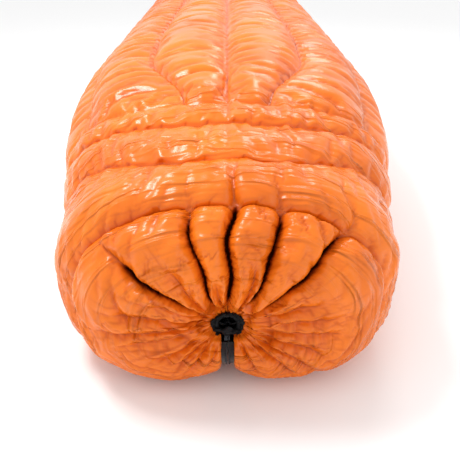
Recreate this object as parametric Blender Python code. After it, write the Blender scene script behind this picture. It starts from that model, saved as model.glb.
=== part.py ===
"""Camp quilt with its foot end drawn shut: shell, liner, down, baffle walls, zipper and drawcord lock.

The quilt lies on its open back. Its foot end faces -Y, its neck end faces +Y, +Z is up, and the lowest
puffs of its underside lie on Z = 0. Metres throughout.

The whole soft body hangs on one surface, the seam surface, which every sewn line lies in. A point of it has
a meridian length m, from the drawcord hem over the foot end and along the body, and a share v of the way
round, 0 on top and +-1 at the two long edges, which the zipper joins near the foot. Shell, liner, fill and
walls are all offsets of that surface.
"""
import math

import bmesh
import bpy
import numpy as np
from mathutils import Matrix, Vector

# Overall form
LENGTH = 1.85               # foot face to neck end
FOOT_HALF_WIDTH = 0.220     # widest place of the foot box, puffs included
FOOT_HEIGHT = 0.270
FOOT_MIDDLE = 0.125         # height of the foot box's widest place
BODY_HALF_WIDTH = 0.298
BODY_HEIGHT = 0.332
BODY_MIDDLE = 0.180
FLARE = 0.60                # length over which the foot box widens into the body
CAP = 0.120                 # depth of the rounded foot end
CAP_POWER = 2.6             # squareness of the foot end's rounding
ARCH_POWER = 2.1            # squareness of the upper half of a section
UNDER_POWER = 4.0           # squareness of the lower half

# Layers
PUFF = 0.020                # how far a chamber swells outwards past its seams
UNDER_PUFF = 0.012          # height of the seams above the ground, under the quilt
UNDER_SWELL = 0.032         # how far the chambers beside the edges would swell, were they not pressed flat
INNER_PUFF = 0.008
WALL_HEIGHT = 0.028         # baffle walls, shell seam to liner seam
FABRIC = 0.0008             # shell and liner
WALL_FABRIC = 0.0006
GAP = 0.0003                # clearance between pieces that touch
DOWN_GAP = 0.0013           # the down lies a little looser in its chamber
DOWN_SIDE = 0.004           # and stays further from the walls, which lean as they follow the swept rings
DOWN_DEPTH = 0.0175         # settled down on the liner; the swell of the shell over it is air
EDGE_DEPTH = 0.0032         # shell to liner where the two are sewn together
EDGE_SEAM = 0.009           # width of the unfilled seam along an edge
NECK_CORNER = 0.045         # how far the neck's down stays back from its two corners
NECK_SLOPE = 0.965          # and, for each metre of wall, from the neck hem that the liner climbs to
NECK_END = NECK_SLOPE * WALL_HEIGHT
HEM_SEAM = 0.014            # width of the unfilled, gathered edge round the drawn hole
EDGE_THINNING = 0.4         # share of the loft that the down keeps right beside that seam

# Seams: the foot rings, each with the meridian place on top and how far it drops back at the flanks
CAP_MERIDIAN = 0.230        # meridian length of the rounded foot end
RING_D = 0.150
RING_C = 0.237
RING_B = 0.330
RING_A = 0.388
NECK_BAFFLE = 0.110
SWEEP_C = 0.070
SWEEP_B = 0.055
SWEEP_A = 0.045
INNER_SEAM_FOOT = 0.10      # shares of the way round at which the long seams lie
INNER_SEAM_BODY = 0.19
OUTER_SEAM = 0.36
SIDE_SEAM = 0.68
NECK_OPEN = 0.110           # half the space between the two edges at the neck

# Foot drawcord
CINCH_HEIGHT = 0.090
CINCH_RECESS = 0.022
CINCH_RADIUS = 0.017        # where the shell ends and the hem begins
HEM_RADIUS = 0.0032
CORD_RADIUS = 0.00125
HEM_BORE_GAP = 0.00035      # the cord slides freely in the hem
HEM_BORE = CORD_RADIUS + HEM_BORE_GAP
TAIL = 0.062                # cord from the hem to its end bell
BELL_RADIUS = 0.0042
BELL_LENGTH = 0.009
STRAND_GAP = 0.0017         # half the spacing of the two strands in the lock

# Cord lock
LOCK_RADIUS = 0.0070
LOCK_ABOVE_CORD = 0.0074
LOCK_BELOW_CORD = 0.0106
LOCK_WALL = 0.0020
LOCK_FLOOR = 0.0018
PLUNGER_PROUD = 0.0045
PLUNGER_FOOT = 0.0016       # plunger left under its cord slot
PLUNGER_TRAVEL = 0.0030
LOCK_BEHIND_HEM = 0.026
SPRING_WIRE = 0.00025
SPRING_TURNS = 4

# Zipper
ZIP_END = 0.450             # y at which the zipper ends, from the foot face
ZIP_VISIBLE = 0.0075        # half the width between the shell's edges
TAPE_WIDTH = 0.0125
TAPE = 0.0006
TAPE_DEPTH = 0.0012         # from the seam surface in to the tape's outer face
COIL_SPLIT = 0.0008         # half the room between the two coils
COIL_WIDTH = 0.0022
COIL_OUT = 0.0013           # how far the coils stand out of the seam surface
ZIP_HEAD = 0.009            # place of the box and pin, from the hem
ZIP_HEAD_LENGTH = 0.006
ZIP_BOX_EXTRA = 0.0012      # how much wider the box is than the coil
ZIP_PIN_WIDTH = 0.0015
TAPE_LEAD = 0.001           # tape that reaches past the box and the pin
STOP_LENGTH = 0.003
SLIDER_LENGTH = 0.011
SLIDER_WALL = 0.0013
PLATE = 0.0010
POST_WIDTH = 0.0010
POST_LENGTH = 0.003
EAR_HALF = 0.0011           # half the length of the ears that carry the pull's pin
PIN_RADIUS = 0.0005
PULL_BORE = 0.0010
PULL_EYE = 0.0019
PULL_LENGTH = 0.022
PULL_WIDTH = 0.0050
PULL_THICKNESS = 0.0012
DRAFT_WIDTH = 0.010         # draft tube: reach past the zipper's edges on its sewn side
DRAFT_FREE_WIDTH = 0.007
DRAFT_LOFT = 0.012
DRAFT_FLAT = 0.003          # half the width of its flat middle
DRAFT_GAP = 0.0008
DRAFT_FROM = 0.100

# Small pieces at the open edges
BINDING = 0.0022
BINDING_HEIGHT = 0.0070
BINDING_START = 0.004       # from the zipper's end
NECK_HEM_DEPTH = 0.014
NECK_HEM_OUT = 0.0007       # how far the hem stands out of the seam surface
NECK_HEM_WALL = 0.0009
SNAP_RADIUS = 0.0060
SNAP_CAP = 0.0016
SNAP_STUD = 0.0024
SNAP_STUD_HEIGHT = 0.0018
SNAP_CLEARANCE = 0.0002
SNAP_FROM_EDGE = 0.014
LOOP_LENGTH = 0.016
LOOP_HEIGHT = 0.0076
LOOP_WIDTH = 0.012
LOOP_WEBBING = 0.0012
LOOP_PLACES = (0.50, 0.78)  # shares of the quilt's length


def remove_everything():
    for old in list(bpy.data.objects):
        bpy.data.objects.remove(old, do_unlink=True)


def material(name, colour, roughness, metallic=0.0):
    made = bpy.data.materials.new(name)
    made.use_nodes = True
    shader = made.node_tree.nodes["Principled BSDF"]
    shader.inputs["Base Color"].default_value = (*colour, 1.0)
    shader.inputs["Roughness"].default_value = roughness
    shader.inputs["Metallic"].default_value = metallic
    return made


def finish(name, mesh, look, smooth_under=35.0):
    """Closes a mesh into a named object, with its faces turned outwards, its look, and round parts smooth."""
    shape = bmesh.new()
    shape.from_mesh(mesh)
    bmesh.ops.recalc_face_normals(shape, faces=shape.faces)
    if shape.calc_volume(signed=True) < 0:
        bmesh.ops.reverse_faces(shape, faces=shape.faces)
    shape.to_mesh(mesh)
    shape.free()
    mesh.shade_smooth()
    mesh.set_sharp_from_angle(angle=math.radians(smooth_under))
    mesh.materials.append(material(name, *look))
    made = bpy.data.objects.new(name, mesh)
    bpy.context.collection.objects.link(made)
    return made


# ---- the seam surface

def flare(y):
    """How far the foot box has widened into the body at y: 0 at the rounded end, 1 past the flare."""
    return math.sin(math.pi / 2 * min(max((y - CAP) / FLARE, 0.0), 1.0))


def between(foot, body, y):
    return foot + (body - foot) * flare(y)


def smooth(t):
    t = min(max(t, 0.0), 1.0)
    return t * t * (3 - 2 * t)


def edge_gap(y):
    """Half the space between the two long edges, where the zipper's coils are or the back is open."""
    return ZIP_VISIBLE + (NECK_OPEN - ZIP_VISIBLE) * smooth((y - ZIP_END) / (LENGTH - ZIP_END))


def section(y, v):
    """The seam surface's section at y: X and Z at the share v of the way from the top to an edge."""
    half = between(FOOT_HALF_WIDTH, BODY_HALF_WIDTH, y) - PUFF
    top = between(FOOT_HEIGHT, BODY_HEIGHT, y) - PUFF
    middle = between(FOOT_MIDDLE, BODY_MIDDLE, y)
    turn = np.linspace(0.0, math.pi, 241)
    power = np.where(turn <= math.pi / 2, ARCH_POWER, UNDER_POWER)
    across = half * np.abs(np.sin(turn)) ** (2 / power)
    lift = np.abs(np.cos(turn)) ** (2 / power)
    rise = np.where(turn <= math.pi / 2, top - middle, UNDER_PUFF - middle)
    height = middle + rise * lift
    steps = np.hypot(np.diff(across), np.diff(height))
    run = np.concatenate([[0.0], np.cumsum(steps)])
    under = turn > math.pi / 2
    reach = np.interp(edge_gap(y), across[under][::-1], run[under][::-1])
    place = abs(v) * reach
    return math.copysign(np.interp(place, run, across), v), np.interp(place, run, height)


def seam_point(m, v):
    """The seam surface, with Y counted from the foot face: a rounded cap, then the body's sections.

    The cap blends from the circle of the hem, at the drawn hole, out to the foot box's section.
    """
    if m >= CAP_MERIDIAN:
        y = CAP + m - CAP_MERIDIAN
        x, z = section(y, v)
        return np.array([x, y, z])
    quarter = math.pi / 2 * m / CAP_MERIDIAN
    share = math.sin(quarter) ** (2 / CAP_POWER)
    y = CAP * (1 - math.cos(quarter) ** (2 / CAP_POWER))
    y += CINCH_RECESS * math.exp(-(share / 0.16) ** 2)
    x, z = section(CAP, v)
    turn = v * (math.pi - math.asin(ZIP_VISIBLE / CINCH_RADIUS))
    x = share * x + (1 - share) * CINCH_RADIUS * math.sin(turn)
    if abs(v) == 1:
        x = math.copysign(ZIP_VISIBLE, v)
    z = CINCH_HEIGHT + share * (z - CINCH_HEIGHT) + (1 - share) * CINCH_RADIUS * math.cos(turn)
    return np.array([x, y, z])


def seam_normal(m, v):
    """Outward normal of the seam surface. At an edge it has no sideways part, so the zipper lies flat."""
    step = 0.002
    along = seam_point(m + step, v) - seam_point(max(m - step, 0.0), v)
    low, high = max(v - 0.01, -1.0), min(v + 0.01, 1.0)
    around = seam_point(m, high) - seam_point(m, low)
    if abs(v) == 1:
        around = np.array([-1.0, 0.0, 0.0])
    normal = np.cross(around, along)
    return normal / np.linalg.norm(normal)


# ---- the grid that all layers share

LAST = CAP_MERIDIAN + LENGTH - CAP - NECK_HEM_DEPTH
NECK_SEAM = LAST - NECK_BAFFLE
ROWS = (5, 3, 2, 2, 8, 2)    # hem to ring D, C, B and A, to the neck seam, to the neck hem
COLUMNS = (2, 3, 3, 3)      # per side: centre to inner seam, to outer seam, to side seam, to edge

ROW_D, ROW_C, ROW_B, ROW_A, ROW_NECK, ROW_LAST = (sum(ROWS[:count]) for count in range(1, 7))
SEAM_ROWS = (0, ROW_D, ROW_C, ROW_B, ROW_A, ROW_NECK, ROW_LAST)
SEAM_PLACES = (0.0, RING_D, RING_C, RING_B, RING_A, NECK_SEAM, LAST)
SEAM_SWEEPS = (0.0, 0.0, SWEEP_C, SWEEP_B, SWEEP_A, 0.0, 0.0)

SIDE = sum(COLUMNS)
COLUMN_CENTRE = SIDE
COLUMN_INNER = COLUMNS[0]
COLUMN_OUTER = COLUMN_INNER + COLUMNS[1]
COLUMN_SIDE = COLUMN_OUTER + COLUMNS[2]


def row_place(row, v):
    """Meridian length of a grid row at v. Rings drop back at the flanks; the body's rows ease that out."""
    place = np.interp(row, SEAM_ROWS, SEAM_PLACES)
    sweep = np.interp(row, SEAM_ROWS, SEAM_SWEEPS)
    if row > ROW_A:
        sweep = SWEEP_A * max(1 - (row - ROW_A) / 6, 0.0)
    return place + sweep * smooth((abs(v) - 0.08) / 0.36)


def column_share(column, row):
    """The share v of a grid column. The inner long seams bow outwards from the foot box into the body."""
    side = abs(column - COLUMN_CENTRE)
    place = np.interp(row, SEAM_ROWS, SEAM_PLACES)
    inner = INNER_SEAM_FOOT + (INNER_SEAM_BODY - INNER_SEAM_FOOT) * smooth((place - RING_A) / 0.22)
    share = np.interp(side, (0, COLUMN_INNER, COLUMN_OUTER, COLUMN_SIDE, SIDE),
                      (0.0, inner, OUTER_SEAM, SIDE_SEAM, 1.0))
    return math.copysign(share, column - COLUMN_CENTRE) if side else 0.0


def swell(t):
    """Cross profile of a filled chamber between two seams, t from 0 to 1: nearly a half ellipse."""
    return math.sqrt(max(4 * t * (1 - t), 0.0))


def share_between(value, marks):
    for low, high in zip(marks, marks[1:]):
        if low <= value <= high:
            return (value - low) / (high - low)
    return 0.0


def fullness(row, column):
    """0 on a seam, 1 at the crown of a chamber."""
    along = swell(share_between(row, SEAM_ROWS))
    side = abs(column - COLUMN_CENTRE)
    if row <= ROW_A or row >= ROW_NECK:
        return along * {SIDE: 0.0, SIDE - 1: 0.85}.get(side, 1.0)
    around = swell(share_between(side, (0, COLUMN_INNER, COLUMN_OUTER, COLUMN_SIDE, SIDE)))
    near_end = min(row - ROW_A, ROW_NECK - row)
    return around * (0.85 if near_end == 1 else 1.0)


def openness(row, column):
    """How fully shell and liner stand apart: 0 where they are sewn together, 1 inside."""
    at_row = {0: 0.0, 1: 0.65, ROW_LAST: 0.0, ROW_LAST - 1: 0.8}.get(row, 1.0)
    at_column = {SIDE: 0.0, SIDE - 1: 0.8}.get(abs(column - COLUMN_CENTRE), 1.0)
    return at_row * at_column


class Layers:
    """The seam surface on its grid, and the layers of the quilt as offsets of it."""

    def __init__(self):
        shape = (ROW_LAST + 1, 2 * SIDE + 1)
        self.point = np.zeros((*shape, 3))
        self.normal = np.zeros((*shape, 3))
        self.puff = np.zeros(shape)
        self.depth = np.zeros(shape)
        for row in range(shape[0]):
            for column in range(shape[1]):
                v = column_share(column, row)
                m = row_place(row, v)
                full, open_ = fullness(row, column), openness(row, column)
                self.point[row, column] = seam_point(m, v)
                self.normal[row, column] = seam_normal(m, v)
                under = smooth((abs(v) - SIDE_SEAM) / 0.1) if row > ROW_D else 0.0
                self.puff[row, column] = (PUFF + (UNDER_SWELL - PUFF) * under) * full
                inner = WALL_HEIGHT + INNER_PUFF * full
                self.depth[row, column] = EDGE_DEPTH + (inner - EDGE_DEPTH) * open_
        self.foot_face = -(self.outside(0.0)[..., 1].min() + LENGTH) / 2
        self.point[..., 1] += self.foot_face

    def outside(self, below):
        """The outer surface taken in by a distance. Where the quilt rests it is pressed flat."""
        layer = self.point + self.normal * (self.puff - below)[..., None]
        layer[..., 2] = np.maximum(layer[..., 2], below)
        return layer

    def inside(self, above):
        """The inner surface taken out by a distance."""
        return self.point - self.normal * (self.depth - above)[..., None]


def inset(patch, edges):
    """A patch drawn in from its four edges by distances (start row, end row, start column, end column)."""
    moved = patch.copy()
    for axis, (first, last) in enumerate((edges[:2], edges[2:])):
        for end, distance in ((0, first), (-1, last)):
            step = 1 if end == 0 else -2
            here = [slice(None)] * 2
            there = [slice(None)] * 2
            here[axis], there[axis] = end, step
            here, there = tuple(here), tuple(there)
            room = np.linalg.norm(patch[there] - patch[here], axis=-1)
            share = (distance / room)[..., None]
            moved[here] = moved[here] + (moved[there] - moved[here]) * share
    return moved


def slab(name, outer, inner, look, fold=(None, None)):
    """The closed solid between two grids of the same size.

    fold gives the row and column of the grid that lie on the quilt's centre line: past it the diagonals
    lean the other way, so the two halves of the quilt are mirror images.
    """
    rows, columns = outer.shape[:2]
    fold_row, fold_column = (rows + columns if line is None else line for line in fold)
    count = rows * columns
    points = np.concatenate([outer.reshape(-1, 3), inner.reshape(-1, 3)])
    faces = []
    for row in range(rows - 1):
        for column in range(columns - 1):
            a = row * columns + column
            b, c, d = a + 1, a + columns + 1, a + columns
            folded = row >= fold_row or column >= fold_column
            halves = ((a, b, d), (b, c, d)) if folded else ((a, b, c), (a, c, d))
            for half in halves:
                faces += [half, tuple(corner + count for corner in half[::-1])]
    rim = list(range(columns))
    rim += [row * columns + columns - 1 for row in range(1, rows)]
    rim += [(rows - 1) * columns + column for column in range(columns - 2, -1, -1)]
    rim += [row * columns for row in range(rows - 2, 0, -1)]
    for a, b in zip(rim, rim[1:] + rim[:1]):
        low = min(a, b)
        folded = low % columns >= fold_column if abs(a - b) == 1 else low // columns >= fold_row
        if (a < b) != folded:
            faces += [(b, a, b + count), (a, a + count, b + count)]
        else:
            faces += [(b, a, a + count), (b, a + count, b + count)]
    mesh = bpy.data.meshes.new(name)
    mesh.from_pydata(points.tolist(), [], faces)
    return finish(name, mesh, look)


def sheet(name, rows, columns, layer, edges, look):
    """Shell or liner: a sheet of fabric over a block of the grid. layer gives its two faces."""
    block = (slice(rows[0], rows[1] + 1), slice(columns[0], columns[1] + 1))
    faces = [inset(face[block], edges) for face in layer]
    return slab(name, *faces, look, fold=(None, SIDE - columns[0]))


def chamber(name, rows, columns, edges):
    """The down that lies on the liner in one chamber, drawn thin along a sewn edge."""
    clear = FABRIC + DOWN_GAP
    block = (slice(rows[0], rows[1] + 1), slice(columns[0], columns[1] + 1))
    top = np.minimum(clear + DOWN_DEPTH, LAYERS.depth - clear)
    faces = (LAYERS.inside(top), LAYERS.inside(clear))
    outer, inner = (inset(face[block], edges) for face in faces)
    ends = ((0, slice(None)), (-1, slice(None)), (slice(None), 0), (slice(None), -1))
    for end, distance in zip(ends, edges):
        if distance >= EDGE_SEAM / 2:
            middle = (outer[end] + inner[end]) / 2
            outer[end] = middle + (outer[end] - middle) * EDGE_THINNING
            inner[end] = middle + (inner[end] - middle) * EDGE_THINNING
    slab(name, outer, inner, DOWN, fold=(None, SIDE - columns[0]))


def wall(name, rows, columns, ends):
    """A baffle wall that stands on a seam, along a row or along a column of the grid."""
    clear = FABRIC + GAP
    along_row = rows[0] == rows[1]
    half = WALL_FABRIC / 2
    if along_row:
        here = (rows[0], slice(columns[0], columns[1] + 1))
        sides = [(row, here[1]) for row in (rows[0] - 1, rows[0] + 1)]
    else:
        here = (slice(rows[0], rows[1] + 1), columns[0])
        sides = [(here[0], column) for column in (columns[0] - 1, columns[0] + 1)]
    point = LAYERS.point[here]
    top = point - LAYERS.normal[here] * clear
    foot = LAYERS.inside(clear)[here]
    grids = []
    for side in sides:
        step = LAYERS.point[side] - point
        step *= half / np.linalg.norm(step, axis=-1)[..., None]
        grid = np.stack([top + step, foot + step], axis=1)
        for end, distance in ((0, ends[0]), (-1, ends[1])):
            near = 1 if end == 0 else -2
            share = distance / np.linalg.norm(point[near] - point[end])
            grid[end] = grid[end] + (grid[near] - grid[end]) * share
        grids.append(grid)
    return slab(name, *grids, MESH, fold=(SIDE - columns[0] if along_row else None, None))


# ---- looks: colour, roughness, metallic

SHELL = ((0.80, 0.20, 0.035), 0.38)
LINER = ((0.012, 0.012, 0.014), 0.55)
DOWN = ((0.85, 0.85, 0.83), 0.95)
MESH = ((0.35, 0.35, 0.36), 0.8)
WEBBING = ((0.02, 0.02, 0.022), 0.7)
COIL = ((0.03, 0.03, 0.034), 0.4)
CAST = ((0.06, 0.06, 0.065), 0.35, 0.8)
MOULDED = ((0.02, 0.02, 0.022), 0.45)
SPRING_STEEL = ((0.55, 0.56, 0.58), 0.3, 1.0)
CORD = ((0.015, 0.015, 0.017), 0.75)

LAYERS = Layers()
ORIGIN_Y = LAYERS.foot_face     # the foot face's place, with the origin under the middle of the quilt


def quilted_layers():
    """Shell, liner, down and walls."""
    last = 2 * SIDE
    seam = GAP / 2
    skin = (LAYERS.outside(0.0), LAYERS.outside(FABRIC))
    lining = (LAYERS.inside(FABRIC), LAYERS.inside(0.0))
    for kind, faces, look in (("shell", skin, SHELL), ("liner", lining, LINER)):
        sheet(f"{kind}_foot_end", (0, ROW_D), (0, last), faces, (0, seam, 0, 0), look)
        sheet(f"{kind}_body", (ROW_D, ROW_LAST), (0, last), faces, (seam, 0, 0, 0), look)

    room = WALL_FABRIC / 2 + GAP
    rings = (("end", 0, ROW_D), ("ring_1", ROW_D, ROW_C), ("ring_2", ROW_C, ROW_B),
             ("ring_3", ROW_B, ROW_A), ("neck", ROW_NECK, ROW_LAST))
    for name, first, final in rings:
        start = HEM_SEAM if first == 0 else DOWN_SIDE
        end, side = (NECK_END, NECK_CORNER) if final == ROW_LAST else (DOWN_SIDE, EDGE_SEAM)
        chamber(f"down_{name}", (first, final), (0, last), (start, end, side, side))
    seams = (0, SIDE - COLUMN_SIDE, SIDE - COLUMN_OUTER, SIDE - COLUMN_INNER, SIDE)
    names = ("edge", "side", "flank", "centre")
    for name, first, final in zip(names, seams, seams[1:]):
        start = EDGE_SEAM if first == 0 else DOWN_SIDE
        ends = (DOWN_SIDE, DOWN_SIDE)
        chamber(f"down_{name}_left", (ROW_A, ROW_NECK), (first, final), (*ends, start, DOWN_SIDE))
        mirrored = (last - final, last - first)
        chamber(f"down_{name}_right", (ROW_A, ROW_NECK), mirrored, (*ends, DOWN_SIDE, start))

    for name, row in (("foot_end", ROW_D), ("ring_1", ROW_C), ("ring_2", ROW_B), ("ring_3", ROW_A),
                      ("neck", ROW_NECK)):
        wall(f"wall_{name}", (row, row), (0, last), (EDGE_SEAM, EDGE_SEAM))
    for name, side in (("side", COLUMN_SIDE), ("outer", COLUMN_OUTER), ("inner", COLUMN_INNER)):
        for hand, column in (("left", SIDE - side), ("right", SIDE + side)):
            wall(f"wall_{name}_{hand}", (ROW_A, ROW_NECK), (column, column), (room, room))
    wall("wall_centre", (ROW_A, ROW_NECK), (SIDE, SIDE), (room, room))


# ---- pieces along the edges

def sweep(name, path, side, up, outline, look, bore=None):
    """An outline of (side, up) pairs carried along a path, closed at its ends, with or without a bore."""
    loops = [np.array(loop) for loop in (outline, bore) if loop is not None]
    rings = [path[:, None] + side[:, None] * loop[:, :1] + up[:, None] * loop[:, 1:] for loop in loops]
    stations, around = rings[0].shape[:2]
    points = np.concatenate([ring.reshape(-1, 3) for ring in rings])
    faces = []
    for layer in range(len(rings)):
        base = layer * stations * around
        for station in range(stations - 1):
            for corner in range(around):
                here = base + station * around
                after = (corner + 1) % around
                quad = (here + corner, here + after, here + around + after, here + around + corner)
                faces.append(quad if layer == 0 else quad[::-1])
    for station, order in ((0, -1), (stations - 1, 1)):
        first = station * around
        if bore is None:
            faces.append(tuple(range(first, first + around))[::order])
            continue
        inner = first + stations * around
        for corner in range(around):
            after = (corner + 1) % around
            faces.append((first + corner, first + after, inner + after, inner + corner)[::order])
    mesh = bpy.data.meshes.new(name)
    mesh.from_pydata(points.tolist(), [], faces)
    return finish(name, mesh, look)


def rectangle(low_side, high_side, low_up, high_up):
    return [(low_side, low_up), (high_side, low_up), (high_side, high_up), (low_side, high_up)]


def run_along(path):
    """Distance from a polyline's first point to each of its points."""
    return np.concatenate([[0.0], np.cumsum(np.linalg.norm(np.diff(path, axis=0), axis=1))])


def stations_between(run, start, end):
    return np.concatenate([[start], run[(run > start + 1e-4) & (run < end - 1e-4)], [end]])


def resample(values, run, places):
    """Values known at each point of a polyline, read at other distances along it."""
    return np.stack([np.interp(places, run, column) for column in values.T], axis=1)


def stretch(path, normals, start, end):
    """The part of a polyline between two distances along it, with its normals."""
    run = run_along(path)
    places = stations_between(run, start, end)
    line, up = resample(path, run, places), resample(normals, run, places)
    return line, up / np.linalg.norm(up, axis=1)[:, None]


def distance_at(path, y):
    """Distance along a polyline at which it last reaches y, counted from the foot face."""
    return float(np.interp(ORIGIN_Y + y, path[2:, 1], run_along(path)[2:]))


def zipper():
    """Two tapes with their coils, box and pin at the hem, stops at the far end, a draft tube behind."""
    rows = ROW_A + 3
    path = LAYERS.point[:rows, -1].copy()
    path[:, 0] = 0.0
    normals = LAYERS.normal[:rows, -1]
    end = distance_at(path, ZIP_END)
    across = np.array([1.0, 0.0, 0.0])
    coil_foot = GAP - TAPE_DEPTH
    pieces = (
        ("zip_tape", ZIP_HEAD - TAPE_LEAD, end,
         (COIL_SPLIT, COIL_SPLIT + TAPE_WIDTH), (-TAPE_DEPTH - TAPE, -TAPE_DEPTH), WEBBING),
        ("zip_coil", ZIP_HEAD + ZIP_HEAD_LENGTH + GAP, end - STOP_LENGTH - GAP,
         (COIL_SPLIT, COIL_SPLIT + COIL_WIDTH), (coil_foot, COIL_OUT), COIL),
        ("zip_stop", end - STOP_LENGTH, end,
         (COIL_SPLIT, COIL_SPLIT + COIL_WIDTH + GAP), (coil_foot, COIL_OUT + GAP), CAST),
    )
    for name, start, finish_at, side, height, look in pieces:
        line, up = stretch(path, normals, start, finish_at)
        for hand, sign in (("left", -1), ("right", 1)):
            facing = np.tile(across * sign, (len(line), 1))
            sweep(f"{name}_{hand}", line, facing, up, rectangle(*side, *height), look)
    line, up = stretch(path, normals, ZIP_HEAD, ZIP_HEAD + ZIP_HEAD_LENGTH)
    side = np.tile(across, (len(line), 1))
    box = rectangle(-COIL_SPLIT - COIL_WIDTH - ZIP_BOX_EXTRA, -GAP, coil_foot, COIL_OUT + GAP)
    sweep("zip_box", line, side, up, box, CAST)
    pin = rectangle(COIL_SPLIT, COIL_SPLIT + ZIP_PIN_WIDTH, coil_foot, COIL_OUT)
    sweep("zip_pin", line, side, up, pin, CAST)
    draft_tube(path)


def draft_tube(path):
    """A slim down-filled tube sewn behind the zipper, on the left edge, lying over to the right one."""
    run = run_along(path)
    liner = LAYERS.inside(0.0)[:len(path)]
    normals = LAYERS.normal[:len(path)]
    lines = []
    for edge, beside, reach in ((0, 1, DRAFT_WIDTH), (-1, -2, DRAFT_FREE_WIDTH)):
        step = liner[:, beside] - liner[:, edge]
        outer = liner[:, edge] + step * (reach / np.linalg.norm(step, axis=1))[:, None]
        lines.append((outer, liner[:, edge]))
    middle = [path - normals[:, -1] * EDGE_DEPTH + np.array([side, 0.0, 0.0])
              for side in (-DRAFT_FLAT, DRAFT_FLAT)]
    face = np.stack([lines[0][0], lines[0][1], *middle, lines[1][1], lines[1][0]], axis=1)
    face -= normals[:, -1:] * DRAFT_GAP
    loft = DRAFT_LOFT * np.array([0.15, 0.75, 1.0, 1.0, 0.75, 0.15])
    start, end = distance_at(path, DRAFT_FROM), distance_at(path, ZIP_END)
    places = stations_between(run, start, end)
    cut = resample(face.reshape(len(path), -1), run, places).reshape(-1, len(loft), 3)
    up = resample(normals[:, -1], run, places)
    slab("draft_tube", cut, cut - up[:, None] * loft[None, :, None], LINER)


def taken_over(shape, name):
    """A new mesh that holds a bmesh's shape, which is then freed."""
    mesh = bpy.data.meshes.new(name)
    shape.to_mesh(mesh)
    shape.free()
    return mesh


def block(name, low, high, look):
    """A plain box between two corners."""
    low, high = Vector(low), Vector(high)
    shape = bmesh.new()
    bmesh.ops.create_cube(shape, size=1.0)
    centre, size = (low + high) / 2, high - low
    place = Matrix.Translation(centre) @ Matrix.Diagonal((*size, 1.0))
    bmesh.ops.transform(shape, matrix=place, verts=shape.verts)
    return finish(name, taken_over(shape, name), look)


def round_bar(name, centre, axis, radius, length, look, sides=14):
    """A plain cylinder centred on a point, along axis X, Y or Z."""
    shape = bmesh.new()
    bmesh.ops.create_cone(shape, cap_ends=True, segments=sides, radius1=radius, radius2=radius,
                          depth=length)
    direction = Vector([float(letter == axis) for letter in "XYZ"])
    turn = Vector((0, 0, 1)).rotation_difference(direction).to_matrix().to_4x4()
    bmesh.ops.transform(shape, matrix=Matrix.Translation(centre) @ turn, verts=shape.verts)
    return finish(name, taken_over(shape, name), look)


def combine(body, tool, operation):
    """Joins a second shape to a body or cuts it out, and keeps the tool as a hidden guide."""
    tool.hide_render = True
    tool.display_type = "WIRE"
    step = body.modifiers.new(operation.lower(), "BOOLEAN")
    step.operation = operation
    step.object = tool


def place_origin(made, point):
    """Moves an object's origin to a point of its own motion, leaving the shape where it is."""
    made.data.transform(Matrix.Translation(-Vector(point)))
    made.location = point


def slider():
    """The zipper's slider at the knee end of its run, and the pull that hinges on its pin."""
    end = ORIGIN_Y + ZIP_END - STOP_LENGTH - 2 * GAP
    start = end - SLIDER_LENGTH
    reach = COIL_SPLIT + COIL_WIDTH + GAP + SLIDER_WALL
    outer = UNDER_PUFF - COIL_OUT - GAP
    inner = UNDER_PUFF + TAPE_DEPTH + TAPE + GAP
    body = block("zip_slider", (-reach, start, outer - PLATE), (reach, end, outer), CAST)
    top = block("guide_slider_inner_plate", (-reach, start, inner), (reach, end, inner + PLATE), CAST)
    half = POST_WIDTH / 2
    post = block("guide_slider_post", (-half, end - POST_LENGTH, outer - PLATE / 2),
                 (half, end, inner + PLATE / 2), CAST)
    rims = [block(f"guide_slider_rim_{hand}", (min(a, b), start, outer - PLATE / 2),
                  (max(a, b), end, UNDER_PUFF + TAPE_DEPTH - GAP), CAST)
            for hand, a, b in (("left", -reach, SLIDER_WALL - reach),
                               ("right", reach - SLIDER_WALL, reach))]
    pin_height = outer - PLATE - GAP - PULL_EYE
    pin_y = (start + end) / 2
    ear_foot = pin_height - 2 * PIN_RADIUS
    ears = [block(f"guide_slider_ear_{hand}", (min(a, b), pin_y - EAR_HALF, ear_foot),
                  (max(a, b), pin_y + EAR_HALF, outer - PLATE / 2), CAST)
            for hand, a, b in (("left", -reach, -PULL_WIDTH / 2 - GAP),
                               ("right", PULL_WIDTH / 2 + GAP, reach))]
    pin = round_bar("guide_slider_pin", (0, pin_y, pin_height), "X", PIN_RADIUS,
                    2 * reach - EAR_HALF, CAST, 10)
    for piece in (top, post, *rims, *ears, pin):
        combine(body, piece, "UNION")

    pull = block("zip_pull", (-PULL_WIDTH / 2, pin_y, pin_height - PULL_THICKNESS / 2),
                 (PULL_WIDTH / 2, pin_y + PULL_LENGTH, pin_height + PULL_THICKNESS / 2), CAST)
    eye = round_bar("guide_pull_eye", (0, pin_y, pin_height), "X", PULL_EYE, PULL_WIDTH, CAST, 16)
    bore = round_bar("guide_pull_bore", (0, pin_y, pin_height), "X", PULL_BORE, 2 * PULL_WIDTH, CAST, 12)
    combine(pull, eye, "UNION")
    combine(pull, bore, "DIFFERENCE")
    place_origin(pull, (0, pin_y, pin_height))


# ---- the foot's drawcord

HEM_STATIONS = 17
HEM_PATH = CINCH_RADIUS - HEM_RADIUS - GAP
HEM_Y = ORIGIN_Y + CINCH_RECESS + EDGE_DEPTH / 2
HEM_END = math.pi - math.asin((ZIP_VISIBLE + 0.001) / HEM_PATH)
CORD_HEIGHT = CINCH_HEIGHT - HEM_PATH - GAP


def circle(radius, sides):
    return [(radius * math.cos(2 * math.pi * k / sides), radius * math.sin(2 * math.pi * k / sides))
            for k in range(sides)]


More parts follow.
